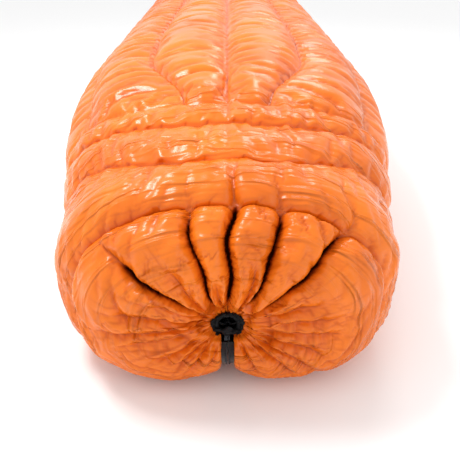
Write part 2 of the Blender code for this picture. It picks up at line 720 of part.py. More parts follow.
def foot_hem():
    """The gathered channel round the drawn hole, open at the zipper, with the cord's bore through it."""
    turns = np.linspace(-HEM_END, HEM_END, HEM_STATIONS)
    radial = np.stack([np.sin(turns), np.zeros(HEM_STATIONS), np.cos(turns)], axis=1)
    path = np.array([0.0, HEM_Y, CINCH_HEIGHT]) + radial * HEM_PATH
    back = np.tile([0.0, 1.0, 0.0], (HEM_STATIONS, 1))
    sweep("foot_hem", path, radial, back, circle(HEM_RADIUS, 8), LINER, bore=circle(HEM_BORE, 8))


def smooth_line(points, count):
    """Points spread evenly along the smooth curve through the given ones."""
    points = np.array(points)
    ends = np.concatenate([[2 * points[0] - points[1]], points, [2 * points[-1] - points[-2]]])
    dense = []
    for a, b, c, d in zip(ends, ends[1:], ends[2:], ends[3:]):
        t = np.linspace(0, 1, 12, endpoint=False)[:, None]
        dense.append(0.5 * (2 * b + (c - a) * t + (2 * a - 5 * b + 4 * c - d) * t ** 2
                            + (3 * b - a - 3 * c + d) * t ** 3))
    dense = np.concatenate([*dense, points[-1:]])
    run = np.concatenate([[0.0], np.cumsum(np.linalg.norm(np.diff(dense, axis=0), axis=1))])
    places = np.linspace(0, run[-1], count)
    return np.stack([np.interp(places, run, dense[:, axis]) for axis in range(3)], axis=1)


def thread(name, points, radius, resolution, look):
    """A round cord or wire along a polyline."""
    curve = bpy.data.curves.new(name, "CURVE")
    curve.dimensions = "3D"
    curve.bevel_depth = radius
    curve.bevel_resolution = resolution
    curve.use_fill_caps = True
    spline = curve.splines.new("POLY")
    spline.points.add(len(points) - 1)
    for slot, point in zip(spline.points, points):
        slot.co = (*point, 1.0)
    curve.materials.append(material(name, *look))
    made = bpy.data.objects.new(name, curve)
    bpy.context.collection.objects.link(made)
    return made


def foot_cord():
    """The elastic drawcord: round the hem, then both ends back through the lock to the end bell."""
    straight = 0.0105
    right = [(0.0048, HEM_Y + 0.0012, CORD_HEIGHT + 0.0012), (0.0026, HEM_Y + 0.0050, CORD_HEIGHT + 0.0003)]
    right += [(STRAND_GAP, HEM_Y + straight + (TAIL - straight) * k / 4, CORD_HEIGHT) for k in range(5)]
    ring = [(HEM_PATH * math.sin(t), HEM_Y, CINCH_HEIGHT + HEM_PATH * math.cos(t))
            for t in np.linspace(-HEM_END, HEM_END, 25)]
    left = [(-x, y, z) for x, y, z in right[::-1]]
    thread("foot_cord", smooth_line(left + ring + right, 50), CORD_RADIUS, 2, CORD)
    round_bar("cord_bell", (0, HEM_Y + TAIL + GAP + BELL_LENGTH / 2, CORD_HEIGHT), "Y", BELL_RADIUS,
              BELL_LENGTH, MOULDED)


def cord_lock():
    """Barrel with a cord slot, sprung plunger that pinches the two strands, and the spring under it."""
    y = HEM_Y + LOCK_BEHIND_HEM
    low, high = CORD_HEIGHT - LOCK_BELOW_CORD, CORD_HEIGHT + LOCK_ABOVE_CORD
    bore = LOCK_RADIUS - LOCK_WALL
    plunger_radius = bore - GAP
    slot_half = STRAND_GAP + CORD_RADIUS + GAP
    slot_height = CORD_RADIUS + GAP

    barrel = round_bar("lock_barrel", (0, y, (low + high) / 2), "Z", LOCK_RADIUS, high - low, MOULDED, 20)
    well_floor = low + LOCK_FLOOR
    well = round_bar("guide_lock_well", (0, y, high), "Z", bore, 2 * (high - well_floor), MOULDED, 20)
    slot = block("guide_lock_slot", (-slot_half, y - 2 * LOCK_RADIUS, CORD_HEIGHT - slot_height),
                 (slot_half, y + 2 * LOCK_RADIUS, CORD_HEIGHT + slot_height), MOULDED)
    combine(barrel, well, "DIFFERENCE")
    combine(barrel, slot, "DIFFERENCE")

    foot = CORD_HEIGHT - slot_height - PLUNGER_FOOT
    top = high + PLUNGER_PROUD
    plunger = round_bar("lock_plunger", (0, y, (foot + top) / 2), "Z", plunger_radius, top - foot,
                        MOULDED, 20)
    window = block("guide_plunger_slot", (-slot_half, y - LOCK_RADIUS, CORD_HEIGHT - slot_height),
                   (slot_half, y + LOCK_RADIUS, CORD_HEIGHT + slot_height + PLUNGER_TRAVEL), MOULDED)
    combine(plunger, window, "DIFFERENCE")
    place_origin(plunger, (0, y, CORD_HEIGHT))

    coil = bore - GAP - 2 * SPRING_WIRE
    bottom, room = well_floor + GAP + SPRING_WIRE, foot - well_floor - 2 * (GAP + SPRING_WIRE)
    turns = np.linspace(0, 2 * math.pi * SPRING_TURNS, 12 * SPRING_TURNS + 1)
    points = [(coil * math.cos(t), y + coil * math.sin(t), bottom + room * t / turns[-1]) for t in turns]
    thread("lock_spring", points, SPRING_WIRE, 1, SPRING_STEEL)


# ---- the open edges and the neck

def edge_bindings():
    """Elastic binding along the two edges, from the zipper's end to the neck, and the loops sewn to it."""
    for hand, column, sign in (("left", 0, 1.0), ("right", -1, -1.0)):
        path = LAYERS.point[:, column]
        start = distance_at(path, ZIP_END) + BINDING_START
        total = np.linalg.norm(np.diff(path, axis=0), axis=1).sum()
        line, up = stretch(path, LAYERS.normal[:, column], start, total)
        along = np.gradient(line, axis=0)
        inward = np.cross(along, up)
        inward *= (np.sign(inward[:, 0]) * sign / np.linalg.norm(inward, axis=1))[:, None]
        middle = -EDGE_DEPTH / 2
        outline = rectangle(GAP, GAP + BINDING, middle - BINDING_HEIGHT / 2, middle + BINDING_HEIGHT / 2)
        sweep(f"binding_{hand}", line, inward, up, outline, WEBBING)
        for number, share in enumerate(LOOP_PLACES, 1):
            pad_loop(f"pad_loop_{hand}_{number}", path, share * LENGTH, sign)


def pad_loop(name, path, y, sign):
    """A flattened loop of webbing, sewn by one side to the binding, that a pad strap runs through."""
    at = distance_at(path, y)
    line, _ = stretch(path, path, at - LOOP_WIDTH / 2, at + LOOP_WIDTH / 2)
    along = (line[-1] - line[0]) / np.linalg.norm(line[-1] - line[0])
    up = np.array([0.0, 0.0, 1.0])
    inward = np.cross(along, up)
    inward *= sign * math.copysign(1.0, inward[0])
    ends = np.array([line[0], line[-1]]) + inward * (BINDING + 2 * GAP)
    low = EDGE_DEPTH / 2 - LOOP_HEIGHT / 2
    web = LOOP_WEBBING
    sweep(name, ends, np.tile(inward, (2, 1)), np.tile(up, (2, 1)),
          rectangle(0.0, LOOP_LENGTH, low, low + LOOP_HEIGHT), WEBBING,
          bore=rectangle(web, LOOP_LENGTH - web, low + web, low + LOOP_HEIGHT - web))


def neck():
    """The hem channel round the neck opening, and the two halves of the snap that closes it."""
    path = LAYERS.point[-1]
    up = LAYERS.normal[-1] * np.array([1.0, 0.0, 1.0])
    up /= np.linalg.norm(up, axis=1)[:, None]
    back = np.tile([0.0, 1.0, 0.0], (len(path), 1))
    low, wall_ = -EDGE_DEPTH - NECK_HEM_OUT, NECK_HEM_WALL
    outline = rectangle(GAP, NECK_HEM_DEPTH, low, NECK_HEM_OUT)
    bore = rectangle(GAP + wall_, NECK_HEM_DEPTH - wall_, low + wall_, NECK_HEM_OUT - wall_)
    sweep("neck_hem", path, back, up, outline, LINER, bore=bore)
    for name, column, beside in (("snap_stud", 0, 1), ("snap_socket", -1, -2)):
        step = path[beside] - path[column]
        place = path[column] + step * SNAP_FROM_EDGE / np.linalg.norm(step) + back[0] * NECK_HEM_DEPTH / 2
        face = place[2] - NECK_HEM_OUT - GAP - SNAP_RADIUS * abs(step[2] / step[0])
        cap_height = SNAP_CAP if name == "snap_stud" else SNAP_CAP + SNAP_STUD_HEIGHT
        cap = round_bar(name, (place[0], place[1], face - cap_height / 2), "Z", SNAP_RADIUS, cap_height,
                        CAST, 20)
        if name == "snap_stud":
            stud_middle = face - SNAP_CAP - SNAP_STUD_HEIGHT / 2 + SNAP_CLEARANCE
            stud = round_bar("guide_stud", (place[0], place[1], stud_middle), "Z", SNAP_STUD,
                             SNAP_STUD_HEIGHT + 2 * SNAP_CLEARANCE, CAST)
            combine(cap, stud, "UNION")
        else:
            well = round_bar("guide_socket", (place[0], place[1], face - cap_height), "Z",
                             SNAP_STUD + SNAP_CLEARANCE, 2 * (SNAP_STUD_HEIGHT + SNAP_CLEARANCE), CAST)
            combine(cap, well, "DIFFERENCE")


remove_everything()
quilted_layers()
zipper()
slider()
foot_hem()
foot_cord()
cord_lock()
edge_bindings()
neck()
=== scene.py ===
import math

import bpy
import numpy as np
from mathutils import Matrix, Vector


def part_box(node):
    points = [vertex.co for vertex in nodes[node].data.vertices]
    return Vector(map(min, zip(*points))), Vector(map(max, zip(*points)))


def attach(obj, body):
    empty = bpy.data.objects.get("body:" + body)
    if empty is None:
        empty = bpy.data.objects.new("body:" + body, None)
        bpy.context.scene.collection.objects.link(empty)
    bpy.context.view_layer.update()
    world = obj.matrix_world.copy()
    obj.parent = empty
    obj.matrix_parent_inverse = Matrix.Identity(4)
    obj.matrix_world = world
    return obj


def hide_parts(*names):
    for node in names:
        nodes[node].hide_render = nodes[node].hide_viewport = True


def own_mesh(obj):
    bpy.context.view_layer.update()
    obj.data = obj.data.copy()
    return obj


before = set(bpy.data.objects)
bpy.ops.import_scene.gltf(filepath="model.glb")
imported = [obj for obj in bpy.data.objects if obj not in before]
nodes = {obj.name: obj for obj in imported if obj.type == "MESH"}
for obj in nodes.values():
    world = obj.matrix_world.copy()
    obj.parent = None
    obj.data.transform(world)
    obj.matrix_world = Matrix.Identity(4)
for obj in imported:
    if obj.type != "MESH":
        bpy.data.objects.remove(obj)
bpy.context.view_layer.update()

# ---- Camera, floor and lights
# A seamless white studio: the camera stands low in front of the foot end and looks 29 degrees down. One soft
# box hangs over the foot to the left, one over the body to the right, and a weak one fills from the right.
FOOT_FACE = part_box("shell_foot_end")[0].y
CAMERA_HEIGHT = 0.50
CAMERA_BEHIND = 0.483                 # in front of the foot face
CAMERA_PITCH = math.radians(29.2)
CAMERA_YAW = math.radians(-0.3)
LENS = 42.5


def lamp(name, place, target, size, power, colour=(1.0, 1.0, 1.0)):
    """A square soft box that shines from its place towards a target."""
    light = bpy.data.lights.new(name, "AREA")
    light.size, light.energy, light.color = size, power, colour
    lit = bpy.data.objects.new(name, light)
    bpy.context.collection.objects.link(lit)
    lit.location = place
    away = np.array(target, float) - np.array(place, float)
    lit.rotation_euler = (math.atan2(np.hypot(away[0], away[1]), -away[2]), 0, math.atan2(-away[0], away[1]))


camera = bpy.data.objects.new("camera", bpy.data.cameras.new("camera"))
bpy.context.collection.objects.link(camera)
camera.data.lens, camera.data.sensor_width = LENS, 36.0
camera.location = (0.0, FOOT_FACE - CAMERA_BEHIND, CAMERA_HEIGHT)
camera.rotation_euler = (math.pi / 2 - CAMERA_PITCH, 0, CAMERA_YAW)
bpy.context.scene.camera = camera

lamp("key_light", (-0.7, FOOT_FACE + 0.5, 1.5), (0, -0.7, 0.1), 0.45, 16)
lamp("back_light", (0.5, 0.6, 1.5), (0, -0.5, 0.1), 0.6, 8)
lamp("fill_light", (1.4, FOOT_FACE - 0.9, 0.8), (0, -0.7, 0.1), 0.8, 2)

world = bpy.data.worlds.new("studio")
world.use_nodes = True
world.node_tree.nodes["Background"].inputs["Color"].default_value = (1.0, 1.0, 1.0, 1.0)
world.node_tree.nodes["Background"].inputs["Strength"].default_value = 1.0
bpy.context.scene.world = world
bpy.context.scene.view_settings.view_transform = "Standard"


def principled(name, colour, roughness, **sockets):
    """A new material with its colour and roughness on the shader's own sockets; returns its parts."""
    made = bpy.data.materials.new(name)
    made.use_nodes = True
    shader = made.node_tree.nodes["Principled BSDF"]
    shader.inputs["Base Color"].default_value = (*colour, 1.0)
    shader.inputs["Roughness"].default_value = roughness
    for socket, value in sockets.items():
        shader.inputs[socket.replace("_", " ")].default_value = value
    return made, made.node_tree, shader


floor_mesh = bpy.data.meshes.new("floor")
floor_mesh.from_pydata([(-6, -6, 0), (6, -6, 0), (6, 8, 0), (-6, 8, 0)], [], [(0, 1, 2, 3)])
floor_mesh.materials.append(principled("floor_paper", (0.93, 0.93, 0.93), 0.9)[0])
floor = bpy.data.objects.new("floor", floor_mesh)
bpy.context.collection.objects.link(floor)

# ---- Shell
# The outer cover of glossy orange nylon taffeta, cut in a foot end piece and a body piece. It is sewn to the
# baffle walls along rings round the foot and along lengthwise lines on the body, and swells between them.
# At the foot its hem is drawn together on a cord, so the foot end is all deep radial pleats.
LENGTH, CAP, CAP_MERIDIAN, FLARE = 1.85, 0.120, 0.230, 0.60
FOOT_FORM = {"half": 0.200, "top": 0.250, "middle": 0.125}    # seam surface: 20 mm inside the crests
BODY_FORM = {"half": 0.278, "top": 0.312, "middle": 0.180}
SEAM_ABOVE_GROUND = 0.012
ZIP_HALF, ZIP_END, NECK_OPEN = 0.0075, 0.450, 0.110
HOLE_HEIGHT, HOLE_RECESS, HOLE_RADIUS = 0.090, 0.022, 0.017
PUFF, UNDER_SWELL = 0.020, 0.032
HEM_LINE = CAP_MERIDIAN + LENGTH - CAP - 0.014
SEAM_PLACES = (0.0, 0.150, 0.237, 0.330, 0.388, HEM_LINE - 0.110, HEM_LINE)   # hem, rings D C B A, neck seam
SEAM_SWEEPS = (0.0, 0.0, 0.070, 0.055, 0.045, 0.0, 0.0)
ROW_STEPS = (60, 30, 30, 22, 230, 20)         # mesh rows from each ring to the next
LONG_SEAMS = (0.0, 0.10, 0.36, 0.68, 1.0)     # shares of the way round: centre, inner, outer, side, edge
COLUMN_STEPS = (20, 46, 50, 48)
INNER_SEAM_BODY = 0.19


def smooth(t):
    """Eases from 0 to 1: 3t squared less 2t cubed."""
    t = np.clip(t, 0.0, 1.0)
    return t * t * (3 - 2 * t)


def half_section(y):
    """One half of the seam surface's sections at several y: two quarter super-ellipses, squarer below.

    Returns X and Z at 201 even steps of arc length from the top down to the edge.
    """
    flare = np.sin(np.pi / 2 * np.clip((y - CAP) / FLARE, 0, 1))[:, None]
    half, top, middle = (FOOT_FORM[size] + (BODY_FORM[size] - FOOT_FORM[size]) * flare
                         for size in ("half", "top", "middle"))
    turn = np.linspace(0.0, np.pi, 481)
    upper = turn <= np.pi / 2
    power = np.where(upper, 2.1, 4.0)
    across = half * np.abs(np.sin(turn)) ** (2 / power)
    rise = np.where(upper, top - middle, SEAM_ABOVE_GROUND - middle)
    height = middle + rise * np.abs(np.cos(turn)) ** (2 / power)
    pieces = np.hypot(np.diff(across), np.diff(height))
    run = np.concatenate([np.zeros((len(y), 1)), np.cumsum(pieces, axis=1)], axis=1)
    gap = ZIP_HALF + (NECK_OPEN - ZIP_HALF) * smooth((y - ZIP_END) / (LENGTH - ZIP_END))
    x, z = np.zeros((2, len(y), 201))
    for k in range(len(y)):
        reach = np.interp(gap[k], across[k, ~upper][::-1], run[k, ~upper][::-1])
        places = np.linspace(0, reach, 201)
        x[k], z[k] = np.interp(places, run[k], across[k]), np.interp(places, run[k], height[k])
    return x, z


FORM_Y = np.linspace(CAP, LENGTH, 260)
FORM_X, FORM_Z = half_section(FORM_Y)


def read_form(table, y, v):
    """Bilinear reading of a section table at y and share v."""
    row = np.clip((y - CAP) / (LENGTH - CAP) * (len(FORM_Y) - 1), 0, len(FORM_Y) - 1.000001)
    column = np.clip(np.abs(v) * 200, 0, 199.999999)
    i, j = row.astype(int), column.astype(int)
    a, b = row - i, column - j
    return (table[i, j] * (1 - a) * (1 - b) + table[i + 1, j] * a * (1 - b)
            + table[i, j + 1] * (1 - a) * b + table[i + 1, j + 1] * a * b)


def seam_surface(m, v):
    """The surface that all seams lie in: meridian length m from the drawn hem, share v of the way round.

    Past the rounded end it is the sections themselves. On the end it runs from the hem's circle out to the
    first section along a super-ellipse, and dips in towards the drawn hole.
    """
    y = CAP + np.maximum(m - CAP_MERIDIAN, 0)
    x, z = read_form(FORM_X, y, v) * np.sign(v), read_form(FORM_Z, y, v)
    quarter = np.pi / 2 * np.clip(m / CAP_MERIDIAN, 0, 1)
    share = np.sin(quarter) ** (2 / 2.6)
    end_y = CAP * (1 - np.abs(np.cos(quarter)) ** (2 / 2.6)) + HOLE_RECESS * np.exp(-(share / 0.16) ** 2)
    turn = v * (np.pi - math.asin(ZIP_HALF / HOLE_RADIUS))
    end_x = share * x + (1 - share) * HOLE_RADIUS * np.sin(turn)
    end_z = HOLE_HEIGHT + share * (z - HOLE_HEIGHT) + (1 - share) * HOLE_RADIUS * np.cos(turn)
    on_end = m < CAP_MERIDIAN
    y = np.where(on_end, end_y, y)
    return np.stack([np.where(on_end, end_x, x), y + FOOT_FACE, np.where(on_end, end_z, z)], axis=-1)


def grid_normals(points):
    """Outward unit normals of a grid: across its columns times along its rows."""
    around, along = np.gradient(points, axis=1), np.gradient(points, axis=0)
    normal = np.cross(around, along)
    return normal / np.maximum(np.linalg.norm(normal, axis=-1, keepdims=True), 1e-12)


def shares(steps, places):
    """Places spread evenly inside each span, and each place's own share of its span."""
    inside = np.concatenate([np.arange(n) / n for n in steps] + [[0.0]])
    line = np.concatenate([a + (b - a) * np.arange(n) / n for n, a, b in zip(steps, places, places[1:])]
                          + [[places[-1]]])
    return line, inside


ROW_MARKS = np.concatenate([[0], np.cumsum(ROW_STEPS)])
RING_D, RING_C, RING_B, RING_A, NECK_ROW, LAST_ROW = ROW_MARKS[1:]
SIDE = sum(COLUMN_STEPS)
COLUMN_MARKS = np.concatenate([[0], np.cumsum(COLUMN_STEPS)])
row_place, row_inside = shares(ROW_STEPS, SEAM_PLACES)
row_sweep = shares(ROW_STEPS, SEAM_SWEEPS)[0]
eased = np.clip(1 - (np.arange(LAST_ROW + 1) - RING_A) / (0.75 * ROW_STEPS[4]), 0, 1)
row_sweep = np.where(np.arange(LAST_ROW + 1) > RING_A, SEAM_SWEEPS[4] * eased, row_sweep)
side_share, side_inside = shares(COLUMN_STEPS, LONG_SEAMS)

inner = 0.10 + (INNER_SEAM_BODY - 0.10) * smooth((row_place - SEAM_PLACES[4]) / 0.22)
half_v = np.stack([np.interp(side_share, LONG_SEAMS, (0.0, share, 0.36, 0.68, 1.0)) for share in inner])
grid_v = np.concatenate([-half_v[:, :0:-1], half_v], axis=1)
grid_side = np.abs(np.arange(2 * SIDE + 1) - SIDE)
grid_m = row_place[:, None] + row_sweep[:, None] * smooth((np.abs(grid_v) - 0.08) / 0.36)
seams = seam_surface(grid_m, grid_v)
seam_up = grid_normals(seams)


def swell(t, power=0.5):
    """Cross profile of a filled chamber: a half ellipse over the span, 0 at both seams."""
    return np.maximum(4 * t * (1 - t), 0.0) ** power


rows = np.arange(LAST_ROW + 1)[:, None]
around_inside = side_inside[grid_side][None, :]
ringed = (rows <= RING_A) | (rows >= NECK_ROW)
beside_zip = np.where(rows <= RING_D, 30, 14)
along_puff = swell(row_inside)[:, None] * swell(np.clip((SIDE - grid_side[None, :]) / beside_zip, 0, 1) * 0.5)
ends = np.clip(np.minimum(rows - RING_A, NECK_ROW - rows) / 9, 0, 1)
body_puff = swell(around_inside) * swell(ends * 0.5)
puffed = np.where(ringed, along_puff, body_puff)
under = smooth((np.abs(grid_v) - 0.68) / 0.1) * (rows > RING_D)
puff_height = (PUFF + (UNDER_SWELL - PUFF) * under) * puffed


def waves(u, w, seed, count, low, high):
    """Smooth random relief: the sum of sine waves of random direction and phase, about -1 to 1."""
    rng = np.random.default_rng(seed)
    total = np.zeros(np.broadcast(u, w).shape)
    for _ in range(count):
        angle, phase = rng.uniform(0, 2 * np.pi, 2)
        pitch = rng.uniform(low, high)
        total += np.sin((u * math.cos(angle) + w * math.sin(angle)) * 2 * np.pi / pitch + phase)
    return total / math.sqrt(count)


# Main pleats of the foot end: share of the way round at the near and at the far end, first and last distance
# from the hem, depth.
PLEATS = ((-0.95, -0.93, 0.01, 0.08, 0.006), (-0.84, -0.88, 0.01, 0.09, 0.009),
          (-0.70, -0.69, 0.01, 0.07, 0.009), (-0.57, -0.60, 0.01, 0.09, 0.009),
          (-0.52, -0.56, 0.00, 0.12, 0.010), (-0.44, -0.46, 0.00, 0.10, 0.010),
          (-0.34, -0.38, 0.00, 0.07, 0.008), (-0.28, -0.33, 0.00, 0.15, 0.015),
          (-0.21, -0.20, 0.00, 0.09, 0.010), (-0.12, -0.08, 0.00, 0.20, 0.014),
          (-0.05, -0.07, 0.00, 0.06, 0.010), (0.00, 0.02, 0.00, 0.24, 0.016),
          (0.13, 0.09, 0.00, 0.09, 0.010), (0.17, 0.10, 0.01, 0.21, 0.015),
          (0.27, 0.29, 0.00, 0.21, 0.015), (0.36, 0.40, 0.01, 0.08, 0.010),
          (0.43, 0.50, 0.02, 0.10, 0.009), (0.52, 0.56, 0.01, 0.10, 0.009),
          (0.60, 0.66, 0.01, 0.09, 0.010), (0.68, 0.75, 0.01, 0.12, 0.009),
          (0.76, 0.80, 0.01, 0.10, 0.009), (0.82, 0.84, 0.01, 0.05, 0.006),
          (0.90, 0.92, 0.01, 0.09, 0.008), (-0.77, -0.78, 0.01, 0.06, 0.008))
PLEAT_SCALE = 1.35


def pleats(m, v):
    """How deep the pleats press the shell in, and where their valleys run.

    Each is a narrow V across, straight from its near to its far way round, and fades out at its far end.
    """
    wander = 0.010 * waves(m, v * 0.3, 3, 6, 0.05, 0.12) * np.clip(m / 0.05, 0, 1)
    half_way_round = 0.05 + 0.47 * np.clip(m / 0.2, 0, 1)
    depth, valley = np.zeros(m.shape), np.zeros(m.shape, bool)
    for near, far, start, end, deep in PLEATS:
        share = np.clip(m / end, 0, 1)
        off = np.abs(v + wander - near - (far - near) * share) / (0.0022 + 0.0050 * share) * half_way_round
        along = smooth((m - start + 0.004) / 0.012) * smooth((end - m) / (0.45 * end))
        depth = np.maximum(depth, PLEAT_SCALE * deep * along * np.exp(-off ** 1.2))
        valley |= (off < 0.3) & (along > 0.35)
    return depth, valley


press, valley = pleats(grid_m, grid_v)
room = puff_height + 0.002 + 0.011 * np.clip(grid_m / 0.03, 0, 1) * smooth((RING_D - rows) / 6)
pleated = np.minimum(press, room)
way_round = grid_v * np.interp(grid_m, (0, 0.2, 0.8), (0.05, 0.52, 0.66))
gathers = np.exp(-grid_m / 0.03) * 0.0012 * np.sin(grid_v * 95 + 3 * waves(grid_m, grid_v, 5, 5, 0.1, 0.3))
across_rings = waves(way_round, grid_m * 0.35, 11, 26, 0.014, 0.034)
across_body = waves(way_round * 0.22, grid_m, 12, 26, 0.016, 0.036)
to_body = smooth((rows - RING_A) / 10)
ripple = (across_rings * (1 - to_body) + across_body * to_body) * 0.0016 * np.minimum(puffed, 1)
from_seam = np.min([np.abs(grid_m - grid_m[mark]) for mark in ROW_MARKS[1:-1]], axis=0)
spikes = np.maximum(waves(way_round, 0 * grid_m, 61, 18, 0.012, 0.040), 0)
puckers = 0.0042 * spikes * smooth(from_seam / 0.006) * np.exp(-from_seam / 0.016) * (1 - 0.4 * to_body)
outer = seams + seam_up * (puff_height * 0.9 - pleated + ripple + gathers)[..., None]


def grid_faces(down, across, closed=False):
    """Quads of a grid of points, numbered row by row; closed joins its last column to its first."""
    index = np.arange(down * across).reshape(down, across)
    after = np.roll(index, -1, axis=1) if closed else index[:, 1:]
    here = index if closed else index[:, :-1]
    return np.stack([here[:-1], after[:-1], after[1:], here[1:]], axis=-1).reshape(-1, 4)


def mesh_object(name, points, faces, material=None):
    """A smooth-shaded object from an array of points and an array or a list of faces."""
    mesh = bpy.data.meshes.new(name)
    faces = faces.tolist() if hasattr(faces, "tolist") else faces
    mesh.from_pydata(np.asarray(points).reshape(-1, 3).tolist(), [], faces)
    mesh.shade_smooth()
    made = bpy.data.objects.new(name, mesh)
    bpy.context.collection.objects.link(made)
    if material:
        mesh.materials.append(material)
    return made


def relax_cloth(points, cut, pinned, excess, frames, pressure):
    """Blender's cloth on a grid: seams pinned, cut to the lengths of another grid, air pressing it out."""
    made = mesh_object("cloth_trial", points, grid_faces(*points.shape[:2]))
    made.shape_key_add(name="Basis")
    pattern = made.shape_key_add(name="cut")
    pattern.data.foreach_set("co", cut.astype(np.float32).ravel())
    group = made.vertex_groups.new(name="pin")
    group.add(np.flatnonzero(pinned.ravel()).tolist(), 1.0, "REPLACE")
    cloth = made.modifiers.new("cloth", "CLOTH")
    settings = cloth.settings
    settings.quality = 5
    settings.mass = 0.05
    settings.tension_stiffness = settings.compression_stiffness = 25
    settings.shear_stiffness = 8
    settings.bending_stiffness = 0.02
    settings.tension_damping = settings.compression_damping = 4
    settings.air_damping = 2
    settings.vertex_group_mass = "pin"
    settings.pin_stiffness = 1
    settings.rest_shape_key = pattern
    settings.shrink_min = settings.shrink_max = -excess
    settings.use_pressure = True
    settings.uniform_pressure_force = pressure
    settings.effector_weights.gravity = 0.0
    cloth.collision_settings.use_collision = False
    cloth.point_cache.frame_end = frames
    for step in range(1, frames + 1):
        bpy.context.scene.frame_set(step)
    shaped = made.evaluated_get(bpy.context.evaluated_depsgraph_get()).to_mesh()
    flat = np.zeros(len(shaped.vertices) * 3, np.float32)
    shaped.vertices.foreach_get("co", flat)
    bpy.data.objects.remove(made, do_unlink=True)
    bpy.context.scene.frame_set(1)
    return flat.reshape(points.shape).astype(float)


ring_seams = np.isin(rows, ROW_MARKS)
long_seams = np.isin(grid_side[None, :], COLUMN_MARKS) & (rows >= RING_A) & (rows <= NECK_ROW)
pinned = ring_seams | long_seams | (grid_side[None, :] == SIDE) | valley
cut = outer.copy()
FULLNESS_ROUND, FULLNESS_ALONG = 0.07, 0.11    # cloth to spare round the foot and along the body
fullness_round = 1 + FULLNESS_ROUND * (1 - to_body)
cut[..., 0] *= fullness_round
cut[..., 2] *= fullness_round
cut[..., 1] += FULLNESS_ALONG * np.maximum(cut[..., 1] - outer[RING_A, SIDE, 1], 0)
outer = relax_cloth(outer, cut, pinned, excess=0.03, frames=12, pressure=2.6)

climb = np.sum((outer - seams) * seam_up, axis=-1)
crest = puff_height + 0.003
over = np.maximum(climb - crest, 0) + 0.30 * climb * ((rows > RING_D) & (rows <= RING_A))
outer = outer - seam_up * (over - 0.004 * np.tanh(over / 0.012))[..., None]
outer += seam_up * (puckers * (1 - np.clip(press / 0.008, 0, 1)))[..., None]
outer[..., 2] = np.maximum(outer[..., 2], 0.0005)


def blurred(values, reach):
    """Each grid value replaced by the mean of those up to `reach` cells away along both axes."""
    for axis in (0, 1):
        width = [(0, 0)] * values.ndim
        width[axis] = (reach + 1, reach)
        total = np.cumsum(np.pad(values, width, mode="edge"), axis=axis)
        count = total.shape[axis] - 2 * reach - 1
        later = np.take(total, np.arange(2 * reach + 1, 2 * reach + 1 + count), axis=axis)
        values = (later - np.take(total, np.arange(count), axis=axis)) / (2 * reach + 1)
    return values


outer_up = grid_normals(outer)
# Painted shade: the shell's colour is darkened where the cloth lies hollow, more on the foot end.
hollow = sum(np.sum((blurred(outer, reach) - outer) * outer_up, axis=-1) / depth
             for reach, depth in ((1, 0.0009), (3, 0.0035)))
on_foot_end = smooth((RING_D + 4 - rows) / 8)
painted_crease_shade = np.clip(hollow, 0, 1.6) / 1.6 * (0.22 + 0.16 * on_foot_end)
# Painted shade along the deepest pleat valleys, and fine painted dark crease lines round the drawn hole.
pleat_valley_shade = np.clip(press / (PLEAT_SCALE * 0.013), 0, 1) ** 5 * np.clip(grid_m / 0.02, 0, 1)
painted_crease_lines = 1 - np.abs(waves(grid_v * 0.30, grid_m * 0.10, 71, 12, 0.020, 0.060))
near_hole = np.clip(1 - grid_m / 0.11, 0, 1) ** 0.5 * np.clip(grid_m / 0.01, 0, 1)
painted_crease_lines = np.clip(painted_crease_lines * 8 - 7, 0, 1) * near_hole
painted_crease_shade = np.maximum(painted_crease_shade, np.maximum(pleat_valley_shade, 0.45 * painted_crease_lines) * on_foot_end)
cloth_uv = np.stack([way_round + 0 * grid_m, grid_m + 0 * way_round], axis=-1)


def with_edges(values, tuck):
    """The grid with its two long edges turned under: two more columns at each end, given by `tuck`."""
    first = [values[:, :1] + tuck[0][k] for k in (1, 0)]
    last = [values[:, -1:] + tuck[1][k] for k in (0, 1)]
    return np.concatenate([*first, values, *last], axis=1)


def give_attributes(made, uv, points):
    """UV in metres of cloth, and named values per point, for the material to read."""
    corner = np.zeros(len(made.data.loops), np.int32)
    made.data.loops.foreach_get("vertex_index", corner)
    layer = made.data.uv_layers.new(name="cloth")
    layer.data.foreach_set("uv", uv.reshape(-1, 2)[corner].astype(np.float32).ravel())
    for name, values in points.items():
        attribute = made.data.attributes.new(name, "FLOAT", "POINT")
        attribute.data.foreach_set("value", values.astype(np.float32).ravel())


def node(tree, kind, *links, **values):
    """A shader node, its inputs linked or set: spaces in names as underscores, is_ for its own settings."""
    made = tree.nodes.new(kind)
    for name, value in values.items():
        if name.startswith("is_"):
            setattr(made, name[3:], value)
        elif hasattr(value, "is_output"):
            tree.links.new(value, made.inputs[name.replace("_", " ")])
        else:
            made.inputs[name.replace("_", " ")].default_value = value
    for number, value in enumerate(links):
        if value is None:
            continue
        if hasattr(value, "is_output"):
            tree.links.new(value, made.inputs[number])
        else:
            made.inputs[number].default_value = value
    return made


def ramp(tree, factor, *stops):
    """A colour ramp through (place, colour) stops."""
    made = node(tree, "ShaderNodeValToRGB", factor)
    elements = made.color_ramp.elements
    while len(elements) < len(stops):
        elements.new(0.5)
    for element, (place, colour) in zip(elements, stops):
        element.position, element.color = place, (*colour, 1.0)
    return made.outputs["Color"]


def bump(tree, height, strength, distance, below=None):
    """A bump node over another one's normal."""
    made = node(tree, "ShaderNodeBump", Strength=strength, Distance=distance, Height=height)
    if below:
        tree.links.new(below, made.inputs["Normal"])
    return made.outputs["Normal"]


